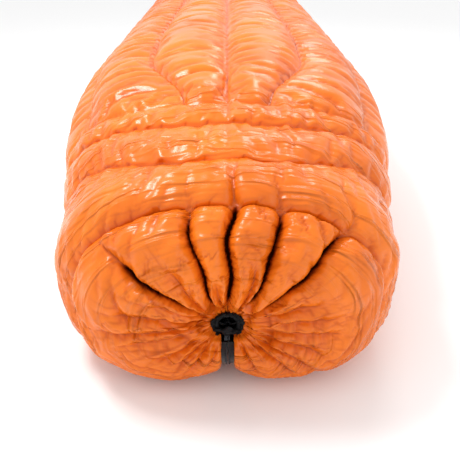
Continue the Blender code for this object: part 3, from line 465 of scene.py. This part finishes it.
def shell_nylon():
    """Satin orange taffeta: crinkles across the seams, a fine weave, and painted shade that darkens the colour
    and lowers the specular down in the folds and creases.
    """
    made, tree, shader = principled("orange_nylon", (0.85, 0.20, 0.03), 0.30, Specular_IOR_Level=0.32)
    uv = node(tree, "ShaderNodeUVMap", is_uv_map="cloth").outputs["UV"]
    painted_shade_fac = node(tree, "ShaderNodeAttribute", is_attribute_name="painted_crease_shade").outputs["Fac"]
    body = node(tree, "ShaderNodeAttribute", is_attribute_name="body").outputs["Fac"]
    ringwise = node(tree, "ShaderNodeMapping", Vector=uv, Scale=(95.0, 16.0, 1.0)).outputs[0]
    bodywise = node(tree, "ShaderNodeMapping", Vector=uv, Scale=(13.0, 70.0, 1.0)).outputs[0]
    crinkle = []
    for vector in (ringwise, bodywise):
        crinkle.append(node(tree, "ShaderNodeTexNoise", Vector=vector, Scale=1.0, Detail=4.0, Roughness=0.55,
                            Distortion=0.6, is_noise_dimensions="2D", is_noise_type="RIDGED_MULTIFRACTAL",
                            is_normalize=True).outputs["Fac"])
    both = node(tree, "ShaderNodeMix", body, crinkle[0], crinkle[1]).outputs[0]
    patch = node(tree, "ShaderNodeTexNoise", Vector=uv, Scale=9.0, Detail=3.0,
                 is_noise_dimensions="2D").outputs["Fac"]
    tone = ramp(tree, patch, (0.3, (0.74, 0.145, 0.006)), (0.7, (0.87, 0.195, 0.012)))
    # Painted shade: the crease shade value multiplies the colour down to near black in the deepest creases.
    deep = ramp(tree, painted_shade_fac, (0.0, (1, 1, 1)), (0.25, (0.78, 0.62, 0.45)), (0.55, (0.26, 0.13, 0.08)),
                (0.85, (0.02, 0.01, 0.01)))
    mixed = node(tree, "ShaderNodeMix", is_data_type="RGBA", is_blend_type="MULTIPLY")
    mixed.inputs[0].default_value = 1.0
    tree.links.new(tone, mixed.inputs[6])
    tree.links.new(deep, mixed.inputs[7])
    tree.links.new(mixed.outputs[2], shader.inputs["Base Color"])
    # Less specular where the shade is painted, so the painted creases stay dark under the white world.
    tree.links.new(node(tree, "ShaderNodeMapRange", painted_shade_fac, 0.15, 0.7, 0.32, 0.0).outputs[0],
                   shader.inputs["Specular IOR Level"])
    rough = node(tree, "ShaderNodeMapRange", both, 0.0, 1.0, 0.24, 0.40).outputs[0]
    tree.links.new(rough, shader.inputs["Roughness"])
    weave = node(tree, "ShaderNodeTexWave", Vector=uv, Scale=900.0).outputs["Fac"]
    normal = bump(tree, both, 1.0, 0.006)
    normal = bump(tree, weave, 0.05, 0.0002, normal)
    tree.links.new(normal, shader.inputs["Normal"])
    return made


EDGE_TUCK = 0.007
inward = np.zeros((LAST_ROW + 1, 2, 3))
inward[:, 0, 0], inward[:, 1, 0] = -1, 1
edge_up = seam_up[:, [0, -1]]
under_edge = [[(-edge_up[:, k:k + 1] * depth + inward[:, k:k + 1] * side) for depth, side in
               ((0.0008, 0.0), (0.0012, EDGE_TUCK))] for k in (0, 1)]
shell_points = with_edges(outer, under_edge)
shell_uv = with_edges(cloth_uv, [[0.0, 0.0]] * 2)
shell_painted_crease_shade = with_edges(painted_crease_shade, [[0.0, 0.0]] * 2)
shell_body_share = with_edges(np.broadcast_to(to_body, painted_crease_shade.shape), [[0.0, 0.0]] * 2)
orange = shell_nylon()
for name, first, last, replaced in (("foot_end_shell", 0, RING_D, "shell_foot_end"),
                                    ("body_shell", RING_D, LAST_ROW, "shell_body")):
    block = slice(first, last + 1)
    piece = mesh_object(name, shell_points[block], grid_faces(*shell_points[block].shape[:2]), orange)
    give_attributes(piece, shell_uv[block], {"painted_crease_shade": shell_painted_crease_shade[block], "body": shell_body_share[block]})
    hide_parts(replaced)
    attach(piece, "quilt")

# ---- Seam stitches
# Orange polyester lockstitch along every ring and lengthwise seam, 8 stitches to the inch, sunk in the valley
# that the two chambers make.
STITCH_PITCH, STITCH_LENGTH, STITCH_WIDTH, STITCH_HEIGHT = 0.0032, 0.0023, 0.00035, 0.0003
seam_lines = [outer[row] for row in ROW_MARKS[1:-1]]
seam_ups = [outer_up[row] for row in ROW_MARKS[1:-1]]
for mark in COLUMN_MARKS[:-1]:
    for column in {SIDE - mark, SIDE + mark}:
        seam_lines.append(outer[RING_A:NECK_ROW + 1, column])
        seam_ups.append(outer_up[RING_A:NECK_ROW + 1, column])


def at_distances(line, run, places):
    """A polyline's values read at distances along it."""
    return np.stack([np.interp(places, run, line[:, axis]) for axis in range(line.shape[1])], axis=-1)


def run_along(line):
    return np.concatenate([[0.0], np.cumsum(np.linalg.norm(np.diff(line, axis=0), axis=1))])


def unit(vectors):
    return vectors / np.maximum(np.linalg.norm(vectors, axis=-1, keepdims=True), 1e-12)


def stitch_row(line, up):
    """Points of all stitches on a line: each a six-sided sliver along the seam, its crown a little proud."""
    run = run_along(line)
    places = np.arange(STITCH_PITCH, run[-1] - STITCH_PITCH, STITCH_PITCH)
    middle = at_distances(line, run, places)
    along = unit(at_distances(line, run, places + 0.001) - middle)
    normal = unit(at_distances(up, run, places))
    side = unit(np.cross(along, normal))
    shape = np.array([(-1, 0, 0.2), (0, -1, 0.5), (0, 0, 1.2), (0, 1, 0.5), (0, 0, -0.6), (1, 0, 0.2)])
    size = np.array([STITCH_LENGTH / 2, STITCH_WIDTH, STITCH_HEIGHT])
    corner = shape * size
    return (middle[:, None] + along[:, None] * corner[:, :1] + side[:, None] * corner[:, 1:2]
            + normal[:, None] * corner[:, 2:])


stitches = np.concatenate([stitch_row(line, up) for line, up in zip(seam_lines, seam_ups)])
sliver = np.array([(0, 1, 2), (0, 2, 3), (0, 3, 4), (0, 4, 1), (5, 2, 1), (5, 3, 2), (5, 4, 3), (5, 1, 4)])
stitch_faces = (sliver[None] + 6 * np.arange(len(stitches))[:, None, None]).reshape(-1, 3)
thread, tree, shader = principled("orange_thread", (0.55, 0.12, 0.02), 0.55)
twist = node(tree, "ShaderNodeTexNoise", Scale=900.0).outputs["Fac"]
tree.links.new(ramp(tree, twist, (0.35, (0.34, 0.07, 0.01)), (0.65, (0.66, 0.15, 0.025))),
               shader.inputs["Base Color"])
piece = mesh_object("seam_stitches", stitches, stitch_faces, thread)
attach(piece, "quilt")

# ---- Liner
# Matt black taffeta, cut as the shell is but smaller, sewn to the inner edges of the baffle walls. It swells
# a little into the sleeping space and is gathered at the foot.
WALL_HEIGHT, INNER_PUFF, EDGE_DEPTH = 0.028, 0.008, 0.0032
hem_open = np.interp(grid_m[:, SIDE], (0, 0.03, 0.06, HEM_LINE - 0.055, HEM_LINE), (0, 0.65, 1, 0.8, 0))
hem_open = hem_open[:, None]
edge_open = np.interp(SIDE - grid_side, (0, 16, 34), (0, 0.8, 1))[None, :]
depth = EDGE_DEPTH + (WALL_HEIGHT + INNER_PUFF * puffed - EDGE_DEPTH) * hem_open * edge_open
pucker = (0.6 + across_rings * (1 - to_body) + across_body * to_body) * 0.0009 * np.minimum(puffed, 1)
inner = seams - seam_up * (depth + np.maximum(pucker, 0))[..., None]


def black_taffeta(name, colour, scale):
    """Black woven nylon with soft creases and a faint weave."""
    made, tree, shader = principled(name, colour, 0.55, Specular_IOR_Level=0.15)
    place = node(tree, "ShaderNodeTexCoord").outputs["Object"]
    crease = node(tree, "ShaderNodeTexNoise", Vector=place, Scale=scale, Detail=5.0,
                  Distortion=0.8).outputs["Fac"]
    weave = node(tree, "ShaderNodeTexVoronoi", Vector=place, Scale=1500.0).outputs["Distance"]
    bright = tuple(c * 2.6 + 0.004 for c in colour)
    tree.links.new(ramp(tree, crease, (0.35, colour), (0.7, bright)), shader.inputs["Base Color"])
    tree.links.new(bump(tree, weave, 0.1, 0.0002, bump(tree, crease, 0.5, 0.003)), shader.inputs["Normal"])
    return made


lining = black_taffeta("black_taffeta", (0.011, 0.011, 0.013), 45.0)
for name, first, last, replaced in (("foot_end_liner", 0, RING_D, "liner_foot_end"),
                                    ("body_liner", RING_D, LAST_ROW, "liner_body")):
    keep_rows = np.unique(np.concatenate([np.arange(first, last, 2), [last]]))
    keep_columns = np.arange(0, 2 * SIDE + 1, 2)
    points = inner[keep_rows][:, keep_columns]
    piece = mesh_object(name, points, grid_faces(*points.shape[:2])[:, ::-1], lining)
    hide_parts(replaced)
    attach(piece, "quilt")

# ---- Down
# Loose white down, blown into each chamber and settled on the liner. Nothing of it shows from outside.
DOWN_DEPTH, DOWN_CLEAR = 0.0165, 0.002


def slab_between(name, top, bottom, material):
    """A closed solid between two grids of one size, with its rim filled."""
    count_rows, count_columns = top.shape[:2]
    faces = grid_faces(count_rows, count_columns)
    count = count_rows * count_columns
    index = np.arange(count).reshape(count_rows, count_columns)
    rim = np.concatenate([index[0], index[1:, -1], index[-1, -2::-1], index[-2:0:-1, 0]])
    after = np.roll(rim, -1)
    sides = np.stack([rim, rim + count, after + count, after], axis=-1)
    return mesh_object(name, np.concatenate([top.reshape(-1, 3), bottom.reshape(-1, 3)]),
                       np.concatenate([faces, faces[:, ::-1] + count, sides]), material)


down, tree, shader = principled("white_down", (0.85, 0.85, 0.83), 0.95, Sheen_Weight=0.5)
tuft = node(tree, "ShaderNodeTexNoise", Scale=160.0, Detail=6.0, Roughness=0.7).outputs["Fac"]
tree.links.new(ramp(tree, tuft, (0.3, (0.72, 0.71, 0.68)), (0.7, (0.9, 0.9, 0.88))),
               shader.inputs["Base Color"])
tree.links.new(bump(tree, tuft, 0.8, 0.004), shader.inputs["Normal"])

sunk = np.maximum(-np.sum((outer - seams) * seam_up, axis=-1), 0)
neighbours = [(step, side) for step in (-4, 0, 4) for side in (-4, -2, 0, 2, 4)]
sunk = np.max([np.roll(sunk, shift, (0, 1)) for shift in neighbours], axis=0)
chambers = [("down_end", 0, RING_D, 0, 2 * SIDE), ("down_ring_1", RING_D, RING_C, 0, 2 * SIDE),
            ("down_ring_2", RING_C, RING_B, 0, 2 * SIDE), ("down_ring_3", RING_B, RING_A, 0, 2 * SIDE),
            ("down_neck", NECK_ROW, LAST_ROW, 0, 2 * SIDE)]
for name, near, far in zip(("centre", "flank", "side", "edge"), COLUMN_MARKS, COLUMN_MARKS[1:]):
    chambers.append((f"down_{name}_right", RING_A, NECK_ROW, SIDE + near, SIDE + far))
    chambers.append((f"down_{name}_left", RING_A, NECK_ROW, SIDE - far, SIDE - near))
for name, first, last, left, right in chambers:
    near, far = first + (10 if first == 0 else 2), last - (9 if last == LAST_ROW else 2)
    keep_rows = np.linspace(near, far, 14).astype(int)
    keep_columns = np.linspace(left + (16 if left == 0 else 3), right - (16 if right == 2 * SIDE else 3),
                               max((right - left) // 5, 6)).astype(int)
    pick = np.ix_(keep_rows, keep_columns)
    thick = np.minimum(DOWN_DEPTH, depth[pick] - 0.006 - sunk[pick])[..., None]
    low_grid = seams[pick] - seam_up[pick] * (depth[pick] - DOWN_CLEAR)[..., None]
    piece = slab_between(f"{name}_fill", low_grid + seam_up[pick] * np.maximum(thick, 0.001), low_grid, down)
    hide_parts(name)
    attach(piece, "quilt")

# ---- Baffle walls
# Strips of fine grey no-see-um mesh, sewn by one edge to the shell and by the other to the liner.
netting, tree, shader = principled("fine_mesh", (0.35, 0.35, 0.36), 0.8)
cells = node(tree, "ShaderNodeTexVoronoi", Scale=1400.0, is_feature="DISTANCE_TO_EDGE").outputs["Distance"]
tree.links.new(ramp(tree, cells, (0.05, (0.5, 0.5, 0.51)), (0.2, (0.2, 0.2, 0.21))),
               shader.inputs["Base Color"])
tree.links.new(bump(tree, cells, 0.6, 0.0003), shader.inputs["Normal"])
WALL_TOP = 0.0045                     # the shell's seam allowance takes it from there
walls = [(f"wall_{name}", (np.array([row]), np.arange(8, 2 * SIDE - 7, 3)))
         for name, row in zip(("foot_end", "ring_1", "ring_2", "ring_3", "neck"), ROW_MARKS[1:6])]
walls.append(("wall_centre", (np.arange(RING_A + 1, NECK_ROW, 4), np.array([SIDE]))))
for name, mark in zip(("inner", "outer", "side"), COLUMN_MARKS[1:4]):
    for hand, column in (("left", SIDE - mark), ("right", SIDE + mark)):
        walls.append((f"wall_{name}_{hand}", (np.arange(RING_A + 1, NECK_ROW, 4), np.array([column]))))
for name, (which_rows, which_columns) in walls:
    pick = np.ix_(which_rows, which_columns)
    foot_depth, place = depth[pick].ravel(), seams[pick].reshape(-1, 3)
    up, along = seam_up[pick].reshape(-1, 3), np.gradient(seams[pick].reshape(-1, 3), axis=0)
    side = unit(np.cross(along, up)) * 0.0003
    share = np.linspace(0, 1, 5)[None, :, None]
    tall = np.maximum(foot_depth[:, None, None] - WALL_TOP - 0.0012, 0.0005)
    face = place[:, None] - up[:, None] * (WALL_TOP + share * tall)
    piece = slab_between(f"{name}_mesh", face + side[:, None], face - side[:, None], netting)
    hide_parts(name)
    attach(piece, "quilt")

# ---- Zipper
# A light coil zipper, closed from the drawn hem round under the foot: two black woven tapes and two polyester
# coils, with a cast box, pin, end stops and slider in black enamel.
COIL_SPLIT, COIL_WIDTH, COIL_PITCH, COIL_WIRE = 0.0008, 0.0022, 0.0013, 0.00033
TAPE_WIDTH, TAPE, TAPE_DEPTH = 0.0125, 0.0006, 0.0012
zip_m = np.linspace(0.0, CAP_MERIDIAN + ZIP_END - CAP + 0.02, 900)
zip_line = seam_surface(zip_m, np.ones_like(zip_m))
zip_line[:, 0] = 0.0
zip_up = unit(np.cross(np.gradient(zip_line, axis=0), np.array([-1.0, 0.0, 0.0])))
zip_up *= np.sign(-zip_up[-1, 2])
zip_run = run_along(zip_line)
zip_far = np.interp(FOOT_FACE + ZIP_END, zip_line[100:, 1], zip_run[100:])


def woven_black(name, ribs):
    """Black woven tape: ribs across it, a little lighter on their crowns."""
    made, tree, shader = principled(name, (0.013, 0.013, 0.015), 0.7, Sheen_Weight=0.25)
    place = node(tree, "ShaderNodeTexCoord").outputs["Object"]
    rib = node(tree, "ShaderNodeTexWave", Vector=place, Scale=ribs, Distortion=1.5, is_bands_direction="Y")
    cross = node(tree, "ShaderNodeTexWave", Vector=place, Scale=ribs * 0.8, is_bands_direction="X")
    both = node(tree, "ShaderNodeMath", rib.outputs["Fac"], cross.outputs["Fac"],
                is_operation="MULTIPLY").outputs[0]
    tree.links.new(ramp(tree, both, (0.1, (0.007, 0.007, 0.008)), (0.9, (0.03, 0.03, 0.034))),
                   shader.inputs["Base Color"])
    tree.links.new(bump(tree, both, 0.6, 0.0003), shader.inputs["Normal"])
    return made


def enamel(name, colour, metallic, roughness):
    """Painted casting or moulding: faint orange peel and rubbed spots."""
    made, tree, shader = principled(name, colour, roughness, Metallic=metallic)
    place = node(tree, "ShaderNodeTexCoord").outputs["Object"]
    rubbed = node(tree, "ShaderNodeTexNoise", Vector=place, Scale=420.0, Detail=4.0).outputs["Fac"]
    bright = tuple(c * 2.2 + 0.01 for c in colour)
    tree.links.new(ramp(tree, rubbed, (0.45, colour), (0.8, bright)), shader.inputs["Base Color"])
    worn = node(tree, "ShaderNodeMapRange", rubbed, 0.3, 0.7, roughness * 0.8, roughness * 1.3).outputs[0]
    tree.links.new(worn, shader.inputs["Roughness"])
    tree.links.new(bump(tree, rubbed, 0.15, 0.0004), shader.inputs["Normal"])
    return made


def swept(name, line, side, up, outline, material):
    """A profile of (side, up) pairs, one for all stations or one for each, carried along a line and capped."""
    outline = np.broadcast_to(outline, (len(line), *np.shape(outline)[-2:]))
    points = line[:, None] + side[:, None] * outline[..., :1] + up[:, None] * outline[..., 1:]
    count, around = points.shape[:2]
    caps = [list(range(around))[::-1], list(range((count - 1) * around, count * around))]
    return mesh_object(name, points, grid_faces(count, around, closed=True).tolist() + caps, material)


def outward(made):
    """Turns a closed mesh's faces outwards if they point in."""
    made.data.update()
    count = len(made.data.vertices)
    flat = np.zeros(count * 3, np.float32)
    made.data.vertices.foreach_get("co", flat)
    points = flat.reshape(-1, 3)
    made.data.calc_loop_triangles()
    corners = np.zeros(len(made.data.loop_triangles) * 3, np.int32)
    made.data.loop_triangles.foreach_get("vertices", corners)
    a, b, c = points[corners.reshape(-1, 3)].astype(float).transpose(1, 0, 2)
    if np.einsum("ij,ij->i", a, np.cross(b, c)).sum() < 0:
        made.data.flip_normals()
    return made


def along_zip(start, end, step):
    places = np.arange(start, end, step)
    return at_distances(zip_line, zip_run, places), unit(at_distances(zip_up, zip_run, places)), places


tape_cloth = woven_black("zipper_tape", 1500.0)
coil_plastic = enamel("coil_polyester", (0.03, 0.03, 0.034), 0.0, 0.35)
cast_black = enamel("black_enamel", (0.05, 0.05, 0.055), 0.8, 0.35)
for hand, sign in (("left", -1.0), ("right", 1.0)):
    line, up, places = along_zip(0.0085, zip_far, 0.0025)
    across = np.tile([sign, 0.0, 0.0], (len(line), 1))
    wave = 0.00012 * np.sin(places[:, None] * 260) * np.linspace(0, 1, 9)[None, :]
    reach = np.linspace(COIL_SPLIT, COIL_SPLIT + TAPE_WIDTH, 9)
    face = line[:, None] + across[:, None] * reach[None, :, None]
    face = face + up[:, None] * (wave - TAPE_DEPTH)[..., None]
    piece = outward(slab_between(f"tape_{hand}", face, face - up[:, None] * TAPE, tape_cloth))
    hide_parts(f"zip_tape_{hand}")
    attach(piece, "quilt")

    line, up, places = along_zip(0.0158, zip_far - 0.0036, COIL_PITCH / 10)
    turn = places * 2 * np.pi / COIL_PITCH
    across = np.tile([sign, 0.0, 0.0], (len(line), 1))
    middle = COIL_SPLIT + COIL_WIDTH / 2
    spiral = (line + across * (middle + (COIL_WIDTH / 2 - COIL_WIRE) * np.cos(turn))[:, None]
              + up * (0.00015 + 0.0008 * np.sin(turn))[:, None])
    tangent = unit(np.gradient(spiral, axis=0))
    out = unit(across * np.cos(turn)[:, None] + up * np.sin(turn)[:, None])
    square = COIL_WIRE * np.array([(1, 0), (0, 1), (-1, 0), (0, -1)])
    piece = outward(swept(f"coil_{hand}", spiral, out, unit(np.cross(tangent, out)), square, coil_plastic))
    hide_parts(f"zip_coil_{hand}")
    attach(piece, "quilt")


def refinish(name, material, bevel=0.0):
    """A CAD node with its finish, and its edges broken by a small bevel."""
    shown = nodes[name]
    shown.data.materials.clear()
    shown.data.materials.append(material)
    if bevel:
        weld = shown.modifiers.new("weld", "WELD")
        weld.merge_threshold = 0.00001
        edge = shown.modifiers.new("bevel", "BEVEL")
        edge.width, edge.segments, edge.limit_method, edge.angle_limit = bevel, 2, "ANGLE", math.radians(40)
        edge.harden_normals = False


for name in ("zip_box", "zip_pin", "zip_stop_left", "zip_stop_right", "zip_slider", "zip_pull"):
    refinish(name, cast_black, 0.0002)

# ---- Drawn hem
# Black taffeta channel round the foot's hole, gathered hard on its cord, with the loose ends of its folds
# standing round the hole and crumpled behind the zipper's head.
HEM_RADIUS = 0.0032
HEM_RING = HOLE_RADIUS - HEM_RADIUS - 0.0003
HEM_Y = FOOT_FACE + HOLE_RECESS + EDGE_DEPTH / 2
HEM_END = math.pi - math.asin((ZIP_HALF + 0.001) / HEM_RING)
# The hem's taffeta is the liner's cloth made darker than the liner: painted shade down in the drawn hole.
hem_cloth = black_taffeta("hem_taffeta", (0.003, 0.003, 0.0035), 160.0)
turns = np.linspace(-HEM_END, HEM_END, 260)
radial = np.stack([np.sin(turns), 0 * turns, np.cos(turns)], axis=1)
ring = np.array([0.0, HEM_Y, HOLE_HEIGHT]) + radial * HEM_RING
back = np.tile([0.0, 1.0, 0.0], (len(turns), 1))
around = np.linspace(0, 2 * np.pi, 20, endpoint=False)
ruche = 1 + 0.13 * waves(turns[:, None] * 0.02, 0 * around[None, :], 21, 12, 0.004, 0.009)
tube = np.stack([np.cos(around) * ruche, np.sin(around) * ruche], axis=-1) * HEM_RADIUS * 0.97
piece = outward(swept("gathered_hem", ring, radial, back, tube, hem_cloth))
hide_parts("foot_hem")
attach(piece, "quilt")


def hem_folds(turn, reach):
    """The hem's free folds: a ring of cloth from the channel out over the shell, its rim in uneven points."""
    points_out = 0.0004 + 0.0022 * np.clip(waves(turn * 0.02, 0 * turn, 23, 8, 0.012, 0.04), 0, 1.4)
    radius = HEM_RING + 0.0015 + reach * (HEM_RADIUS + points_out)
    ripple = 0.0010 * waves(turn * 0.02, reach * 0.006, 24, 10, 0.004, 0.01)
    out = -0.0024 - 0.0030 * np.sin(np.pi * np.clip(reach, 0, 1) * 0.75) + ripple
    return np.stack([radius * np.sin(turn), HEM_Y + out, HOLE_HEIGHT + radius * np.cos(turn)], axis=-1)


def crumpled(side, up):
    """The hem's loose corner lying crumpled over the head of the zipper: a flat fan of sharp random folds."""
    reach = 1 + 0.22 * waves(side * 0.02, up * 0.02, 27, 7, 0.02, 0.05)
    relief = 0.0016 * np.abs(waves(side * 0.010, up * 0.008, 28, 9, 0.006, 0.016))
    bow = 0.0035 * (1 - np.clip(np.hypot(side, up), 0, 1) ** 2)
    return np.stack([0.0125 * side * reach, HEM_Y - 0.0052 - relief - bow,
                     HOLE_HEIGHT - 0.0068 + 0.0052 * up * reach], axis=-1)


loose_side, loose_up = np.meshgrid(np.linspace(-1, 1, 46), np.linspace(-1, 1, 26), indexing="ij")
loose_face = crumpled(loose_side * np.sqrt(1 - loose_up ** 2 / 2),
                      loose_up * np.sqrt(1 - loose_side ** 2 / 2))
piece = outward(slab_between("hem_crumple", loose_face, loose_face + np.array([0.0, 0.0005, 0.0]), hem_cloth))
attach(piece, "quilt")

fold_turn, fold_reach = np.meshgrid(np.linspace(-HEM_END, HEM_END, 240), np.linspace(0, 1, 14), indexing="ij")
folds_face = hem_folds(fold_turn, fold_reach)
piece = outward(slab_between("hem_folds", folds_face, folds_face + np.array([0.0, 0.0004, 0.0]), hem_cloth))
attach(piece, "quilt")

# ---- Drawcord and its lock
# Black elastic cord through the hem, both ends back through a sprung barrel lock to a moulded bell.
cord_weave, tree, shader = principled("braided_cord", (0.014, 0.014, 0.016), 0.75)
plait = node(tree, "ShaderNodeTexWave", Scale=1300.0, Distortion=4.0, Detail=1.0).outputs["Fac"]
tree.links.new(ramp(tree, plait, (0.2, (0.007, 0.007, 0.008)), (0.8, (0.035, 0.035, 0.038))),
               shader.inputs["Base Color"])
tree.links.new(bump(tree, plait, 0.7, 0.0003), shader.inputs["Normal"])
refinish("foot_cord", cord_weave)
acetal = enamel("black_acetal", (0.018, 0.018, 0.02), 0.0, 0.42)
for name in ("cord_bell", "lock_barrel", "lock_plunger"):
    refinish(name, acetal, 0.0003)
wire, tree, shader = principled("spring_wire", (0.55, 0.56, 0.58), 0.3, Metallic=1.0)
drawn = node(tree, "ShaderNodeTexNoise", Scale=2600.0).outputs["Fac"]
tree.links.new(ramp(tree, drawn, (0.3, (0.42, 0.43, 0.45)), (0.7, (0.64, 0.65, 0.67))),
               shader.inputs["Base Color"])
refinish("lock_spring", wire)
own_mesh(nodes["lock_spring"])

# ---- Draft tube
# A slim tube of liner cloth filled with down, sewn behind the zipper on the left edge and lying over it.
tube_start = 0.02 + np.interp(FOOT_FACE + 0.1, zip_line[100:, 1], zip_run[100:])
line, up, places = along_zip(tube_start, zip_far - 0.002, 0.004)
theta = np.linspace(0, 2 * np.pi, 28, endpoint=False)
taper = np.clip(np.minimum(places - places[0], places[-1] - places) / 0.012, 0.25, 1)[:, None] ** 0.5
plump = 1 + 0.10 * waves(places[:, None], theta[None, :] * 0.006, 31, 14, 0.014, 0.03)
TUBE_HALF, TUBE_RISE, TUBE_BELOW = 0.0135, 0.0052, 0.0068
lens = np.stack([TUBE_HALF * np.cos(theta) * np.ones_like(taper),
                 TUBE_RISE * np.sin(theta) * taper * plump], axis=-1)
sideways = np.tile([1.0, 0.0, 0.0], (len(line), 1))
piece = outward(swept("draft_tube_soft", line - up * (EDGE_DEPTH + TUBE_BELOW), sideways, up, lens, lining))
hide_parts("draft_tube")
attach(piece, "quilt")

# ---- Edge bindings and pad loops
# Black elastic grosgrain folded over the two open edges and sewn down, with four loops that the straps of a
# sleeping pad run through.
BINDING, BINDING_HEIGHT = 0.0022, 0.0070
grosgrain = woven_black("grosgrain", 900.0)
for hand, sign in (("left", -1.0), ("right", 1.0)):
    edge_m = np.linspace(CAP_MERIDIAN + ZIP_END - CAP + 0.004, HEM_LINE, 520)
    line = seam_surface(edge_m, np.full_like(edge_m, sign))
    up = np.tile([0.0, 0.0, -1.0], (len(line), 1))
    side = unit(np.cross(np.gradient(line, axis=0), up))
    side *= -sign * np.sign(side[:, :1])
    gathered = 1 + 0.07 * waves(edge_m[:, None], 0 * theta[None, :], 41, 12, 0.008, 0.02)
    across = 0.0014 + BINDING / 2 * np.sign(np.cos(theta)) * np.abs(np.cos(theta)) ** 0.5
    flat_top = np.sign(np.sin(theta)) * np.abs(np.sin(theta)) ** 0.6
    tall = -EDGE_DEPTH / 2 + BINDING_HEIGHT / 2 * flat_top * gathered
    profile = np.stack([np.broadcast_to(across, tall.shape), tall], axis=-1)
    piece = outward(swept(f"edge_binding_{hand}", line, side, up, profile, grosgrain))
    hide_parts(f"binding_{hand}")
    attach(piece, "quilt")
    for number in (1, 2):
        refinish(f"pad_loop_{hand}_{number}", grosgrain, 0.0003)

# ---- Neck hem and snap
# A flat channel of black taffeta, gathered a little along its own seam, with a snap to close the neck.
neck_v = np.linspace(-1, 1, 620)
line = seam_surface(np.full_like(neck_v, HEM_LINE), neck_v)
step = np.gradient(line, axis=0)
up = unit(np.cross(step, [0.0, 1.0, 0.0]))
up *= np.where(np.sum(up * (line - [0, line[0, 1], 0.16]), axis=1, keepdims=True) < 0, -1, 1)
run = run_along(line)
gather = waves(run[:, None], np.sin(theta)[None, :] * 0.004, 51, 16, 0.010, 0.024)
deep = 0.00715 + 0.0067 * np.sign(np.cos(theta)) * np.abs(np.cos(theta)) ** 0.45
thick = -0.0016 + (0.0022 + 0.00035 * gather) * np.sign(np.sin(theta)) * np.abs(np.sin(theta)) ** 0.6
profile = np.stack([np.broadcast_to(deep, thick.shape), thick], axis=-1)
piece = outward(swept("neck_channel", line, np.tile([0.0, 1.0, 0.0], (len(line), 1)), up, profile, lining))
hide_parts("neck_hem")
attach(piece, "quilt")
for name in ("snap_stud", "snap_socket"):
    refinish(name, cast_black, 0.0003)
